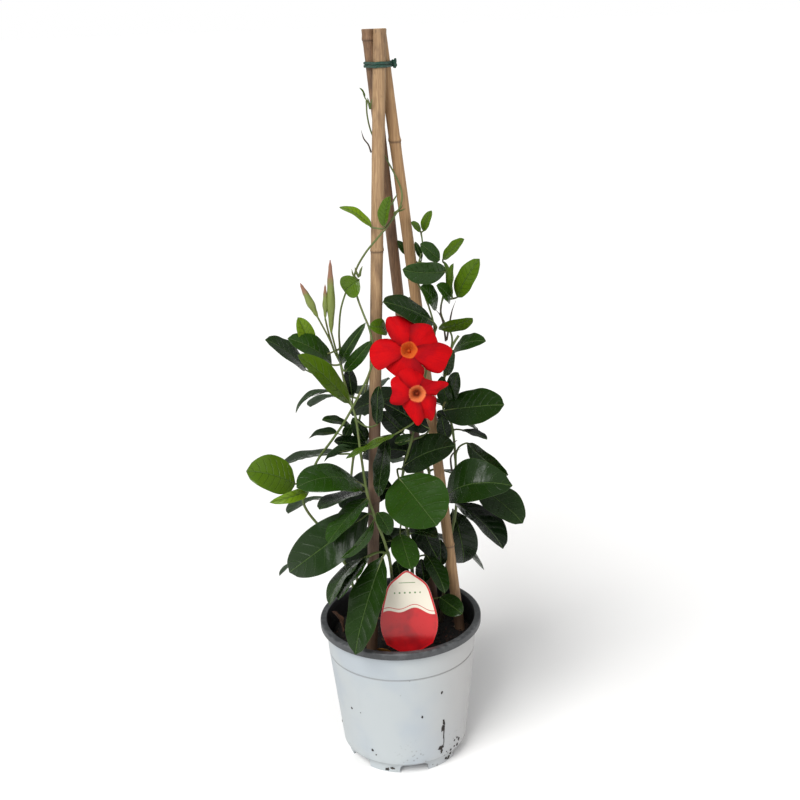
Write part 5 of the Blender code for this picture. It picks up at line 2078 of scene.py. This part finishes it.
@dataclass
class Flower:
    """A flower: the middle of its throat, where it faces, its stalk's joint and its petals.

    A petal is an outline of (angle, reach) pairs, the angle counter-clockwise from the
    flower's right side as it is looked at.
    """

    name: str
    centre: Point
    facing: Point
    joins: Point
    petals: tuple[Outline, ...]
    finish: PetalFinish
    throat: float = 7.6
    tube_length: float = 42.0
    base_spread: float = 88.0
    gap: float = 0.3
    thickness: float = 0.5
    rows: int = 24
    columns: int = 24
    sides: int = 40
    sepals: int = 5
    plain_shade: float = 12.0
    stalk: tuple[Point, ...] = ((0, 1.3), (0.6, 1.2), (0.86, 1.35), (0.95, 2.9), (1, 2.6))

    def spin(self) -> Matrix:
        """Return the turn from the flower's own frame to the plant's.

        Returns:
            The turn.
        """
        facing = Vector(self.facing).normalized()
        sideways = Vector((0, 0, 1)).cross(facing).normalized()
        return Matrix((sideways, facing.cross(sideways), facing)).transposed()

    def petal_point(self, outline: Outline, across: float, share: float, number: int) -> Vector:
        """Return a petal's place.

        Args:
            outline: The petal's (angle, reach) pairs.
            across: The share of the way along its outline.
            share: The share of the way out.
            number: The petal's number, for its own ruffle.

        Returns:
            The place in the flower's own frame.
        """
        last = len(outline) - 1
        keys = [Vector((*pair, 0)) for pair in outline]
        index = min(int(across * last), last - 1)
        t = across * last - index
        before, start, end = keys[max(index - 1, 0)], keys[index], keys[index + 1]
        after = keys[min(index + 2, last)]
        spot = 0.5 * (2 * start + (end - before) * t + (2 * before - 5 * start + 4 * end - after) * t * t
                      + (3 * start - before - 3 * end + after) * t ** 3)
        spread = across - 0.5
        middle = (outline[0][0] + outline[-1][0]) / 2
        base_turn = middle + self.base_spread * spread
        angle = math.radians(base_turn + (spot.x - base_turn) * min(1.0, 1.5 * share))
        start_at = self.throat - 0.5
        away = start_at + (spot.y - start_at) * share
        cup = 1.2 + 4.0 * share - 7.0 * share ** 2.4 + 6.5 * spread * share
        wave = math.sin(across * 9.0 + number * 1.9) * 1.4 + math.sin(across * 17.0 + number) * 0.6
        return polar(away, angle, cup + wave * share ** 2)

    def petal(self, draft: Draft, number: int, outline: Outline) -> None:
        """Add one petal, both faces.

        Args:
            draft: Where the corners and faces go.
            number: The petal's number, which shifts its waves.
            outline: The petal's shape.
        """
        spin, centre = self.spin(), Vector(self.centre)
        sheets: tuple[list, list] = ([], [])
        for row in range(self.rows + 1):
            share = row / self.rows
            for under, sheet in enumerate(sheets):
                line = []
                for column in range(self.columns + 1):
                    across = column / self.columns
                    local = self.petal_point(outline, across, share, number)
                    radius = math.hypot(local.x, local.y)
                    turn = math.degrees(math.atan2(local.y, local.x)) + 90 * number
                    local.z += self.thickness * (0.5 - under) * (1 - 0.7 * share)
                    place = (radius, turn, under)
                    line.append(draft.corner(centre + spin @ local, place, (share, across, 0)))
                sheet.append(line)
        draft.slab(*sheets)

    def funnel(self, draft: Draft) -> None:
        """Add the funnel behind the petals, open at the throat.

        Args:
            draft: Where the corners and faces go.
        """
        outer = ((2.2, -1), (2.5, -0.85), (3.0, -0.7), (4.8, -0.42), (6.8, -0.18), (self.throat, 0.0))
        lip = [(self.throat + 0.8, 1.4), (self.throat + 0.3, 1.9), (self.throat - 0.5, 1.5)]
        bowl = [(6.4, -0.6), (5.6, -2.6), (4.6, -5.0), (3.4, -7.0), (2.2, -7.8), (1.6, -6.4),
                (0.9, -4.6), (0.4, -4.2)]
        rows: list[Point] = [(radius, height * self.tube_length) for radius, height in outer] + lip + bowl
        spin, centre = self.spin(), Vector(self.centre)
        rings = []
        for index, (radius, height) in enumerate(rows):
            outside = index < len(outer)
            shade = self.plain_shade if outside else radius
            ring = []
            for angle in turns(self.sides):
                flute = 1 + 0.04 * math.cos(5 * angle) * smooth_step(height, -40, 0)
                place = (shade, math.degrees(angle), int(outside))
                spot = centre + spin @ polar(radius * flute, angle, height)
                ring.append(draft.corner(spot, place, (1.0, 0, 0)))
            rings.append(ring)
        draft.solid(rings)

    def calyx(self, draft: Draft) -> None:
        """Add the stalk, its swollen end and its small sepals.

        Args:
            draft: Where the corners and faces go.
        """
        back = -Vector(self.facing).normalized()
        seat = Vector(self.centre) + back * (self.tube_length + self.gap)
        start = Vector(self.joins)
        sag = start.lerp(seat, 0.5) + Vector((0, 0, -4))
        route = smooth_route((start, sag, seat + back * 9, seat + back * 3.5, seat), 1.6)
        sweep(draft, route, tapered(1, self.stalk, len(route)), 12, (0.9, 0, 0))
        spin = self.spin()
        for sepal in range(self.sepals):
            out = spin @ polar(1, math.tau * (sepal + 0.3) / self.sepals)
            steps = [seat + back * 3 + out * 2.2, seat + out * 3.0, seat - back * 3 + out * 3.4,
                     seat - back * 6.5 + out * 4.4]
            sweep(draft, smooth_route(steps, 1.2), [0.9] * 3 + [0.7] * 20, 6, (0.9, 0, 0),
                  shape=lambda angle, index: max(0.25, 1 - index * 0.1))

    def make(self) -> None:
        """Build the corolla and the calyx and dress them."""
        draft = Draft()
        self.funnel(draft)
        for number, outline in enumerate(self.petals):
            self.petal(draft, number, outline)
        draft.piece(self.name + "_corolla", self.finish.make(self.name + "_petal"), "petal", self.name,
                    crease=70)
        green = Draft()
        self.calyx(green)
        sepals = StemFinish(green=(0.16, 0.22, 0.06))
        green.piece(self.name + "_calyx", sepals.make(self.name + "_calyx"), "leaf", "vine_centre")


FLOWERS = (
    Flower("flower_upper", (18, -62, 461), (0.0, -0.93, 0.36), (40, -12, 444), (
        ((-50, 24), (-38, 36), (-16, 38), (-1, 40), (13, 28)),
        ((6, 28), (32, 29), (46, 31), (66, 27), (84, 24)),
        ((76, 26), (98, 32), (112, 35), (125, 35.5), (147, 18.5)),
        ((144, 20), (162, 32), (183, 37), (209, 34.5), (216, 26)),
        ((214, 27), (239, 27), (262, 31), (290, 30), (308, 22)),
    ), PetalFinish(hollow=(0.50, 0.085, 0.014))),
    Flower("flower_lower", (24, -86, 426), (0.05, -0.96, 0.25), (22, -17, 375), (
        ((-10, 17.5), (4, 21), (15, 30.5), (36, 19), (70, 15)),
        ((60, 16), (85, 20), (105, 25), (128, 26), (138, 20)),
        ((130, 23), (150, 27), (173, 23), (196, 26), (212, 18)),
        ((205, 17), (233, 19), (255, 24), (269, 29.5), (284, 22)),
        ((278, 23), (290, 25), (296, 28.5), (318, 22), (350, 17)),
    # The lower flower's dark hollow colour paints the shade inside its tube.
    ), PetalFinish(orange=(0.70, 0.20, 0.07), hollow=(0.12, 0.006, 0.004))),
)


@dataclass
class ShedLeaf:
    """A leaf that lies on the soil."""

    node: str
    leaf: Leaf
    slot: str
    finish: DryLeafFinish
    ruffle: float

    def make(self) -> bpy.types.Object:
        """Build the leaf and dress it.

        Returns:
            The finished piece.
        """
        draft = Draft()
        Blade(self.leaf, seed=3, thickness=0.45, ruffle=self.ruffle, spacing=1.6).add(draft)
        return draft.piece(self.node + "_blade", self.finish.make(self.node), self.slot, self.node,
                           crease=70)


SHED_LEAVES = (
    ShedLeaf("fallen_leaf", Leaf((-14, -56, 131.3), -110, 53, 31, 17, 0, 0.05, 0.1), "yellow_leaf",
             DryLeafFinish((0.40, 0.17, 0.015), (0.20, 0.07, 0.012), 0.6), 0.8),
    ShedLeaf("dried_leaf", Leaf((-62, 6, 131.2), 172, 66, 27, 14, 10, 0.1, 0.35), "dry_leaf",
             DryLeafFinish((0.16, 0.075, 0.04), (0.045, 0.02, 0.012), 0.8), 2.4),
)


@dataclass
class Studio:
    """The camera at the photograph's angle, the floor and the soft light."""

    lens: float = 1160 / 800 * 36
    pitch: float = 18.1
    bank: float = -0.038
    place: Point = (0.008, -1.1, 0.752)
    floor_size: float = 400.0
    glow: float = 0.38

    def camera(self) -> None:
        """Make the camera."""
        data = bpy.data.cameras.new("camera")
        data.sensor_width = 36
        data.lens = self.lens
        pitch = math.radians(self.pitch)
        ahead = Vector((0, math.cos(pitch), -math.sin(pitch)))
        right, up = Vector((1, 0, 0)), Vector((0, math.sin(pitch), math.cos(pitch)))
        side = right * math.cos(self.bank) + up * math.sin(self.bank)
        top = up * math.cos(self.bank) - right * math.sin(self.bank)
        turn = Matrix((side, top, -ahead)).transposed().to_4x4()
        turn.translation = self.place
        thing = bpy.data.objects.new("camera", data)
        thing.matrix_world = turn
        bpy.context.scene.collection.objects.link(thing)
        bpy.context.scene.camera = thing

    def floor(self) -> None:
        """Lay the pale floor."""
        half = self.floor_size / 2
        mesh = bpy.data.meshes.new("floor")
        mesh.from_pydata([(-half, -half, 0), (half, -half, 0), (half, half, 0), (-half, half, 0)], [],
                         [(0, 1, 2, 3)])
        sheet = Sheet("floor")
        mesh.materials.append(sheet.finish(Base_Color=(0.97, 0.97, 0.97), Roughness=0.9))
        thing = bpy.data.objects.new("floor", mesh)
        bpy.context.scene.collection.objects.link(thing)

    def sun(self, name: str, towards: Point, spread: float, power: float, colour: Colour) -> None:
        """Hang one broad sun.

        Args:
            name: Its name.
            towards: The way its light goes.
            spread: How wide it looks from the plant, in degrees.
            power: Its strength.
            colour: Its colour.
        """
        data = bpy.data.lights.new(name, "SUN")
        data.angle = math.radians(spread)
        data.energy = power
        data.color = colour
        thing = bpy.data.objects.new(name, data)
        thing.rotation_euler = Vector(towards).to_track_quat("-Z", "Y").to_euler()
        bpy.context.scene.collection.objects.link(thing)

    def light(self) -> None:
        """Light the scene softly from all round and from three suns, on a white ground."""
        sheet = Sheet("studio", Ground.WORLD)
        bpy.context.scene.world = sheet.finish(Color=(1.0, 1.0, 1.0), Strength=self.glow)
        seen = sheet.node("ShaderNodeBackground", values={"Color": (1.0, 1.0, 1.0), "Strength": 1.0})
        rays = sheet.node("ShaderNodeLightPath", output="Is Camera Ray")
        lighting = Wire(sheet, sheet.shader.outputs["Background"])
        blend = sheet.node("ShaderNodeMixShader", values={0: rays, 1: lighting, 2: seen})
        sheet.feed(sheet.tree.nodes["World Output"].inputs["Surface"], blend)
        self.sun("key", (0.45, 0.62, -0.85), 32, 2.35, (1, 0.99, 0.97))
        self.sun("front", (0.22, 0.8, -0.55), 20, 0.75, (1, 1, 1))
        self.sun("fill", (-0.8, 0.5, -0.45), 80, 0.5, (1, 0.97, 0.95))
        bpy.context.scene.view_settings.view_transform = "Standard"

    def make(self) -> None:
        """Set up the camera, the floor and the light."""
        self.camera()
        self.floor()
        self.light()


def main() -> None:
    """Build the studio and every piece of the plant."""
    logging.basicConfig(level=logging.INFO, format="%(message)s")
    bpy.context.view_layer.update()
    Studio().make()
    pot = Pot()
    pot.make()
    PotDirt(pot).make()
    SoilBed(pot).make()
    for cane in CANES:
        cane.make()
    CaneTie().make()
    LabelCard().make()
    for vine in VINES:
        vine.make()
    BudSpray().make()
    Twigs().make()
    for flower in FLOWERS:
        flower.make()
    for leaf in SHED_LEAVES:
        leaf.make()


if __name__ == "__main__":
    main()
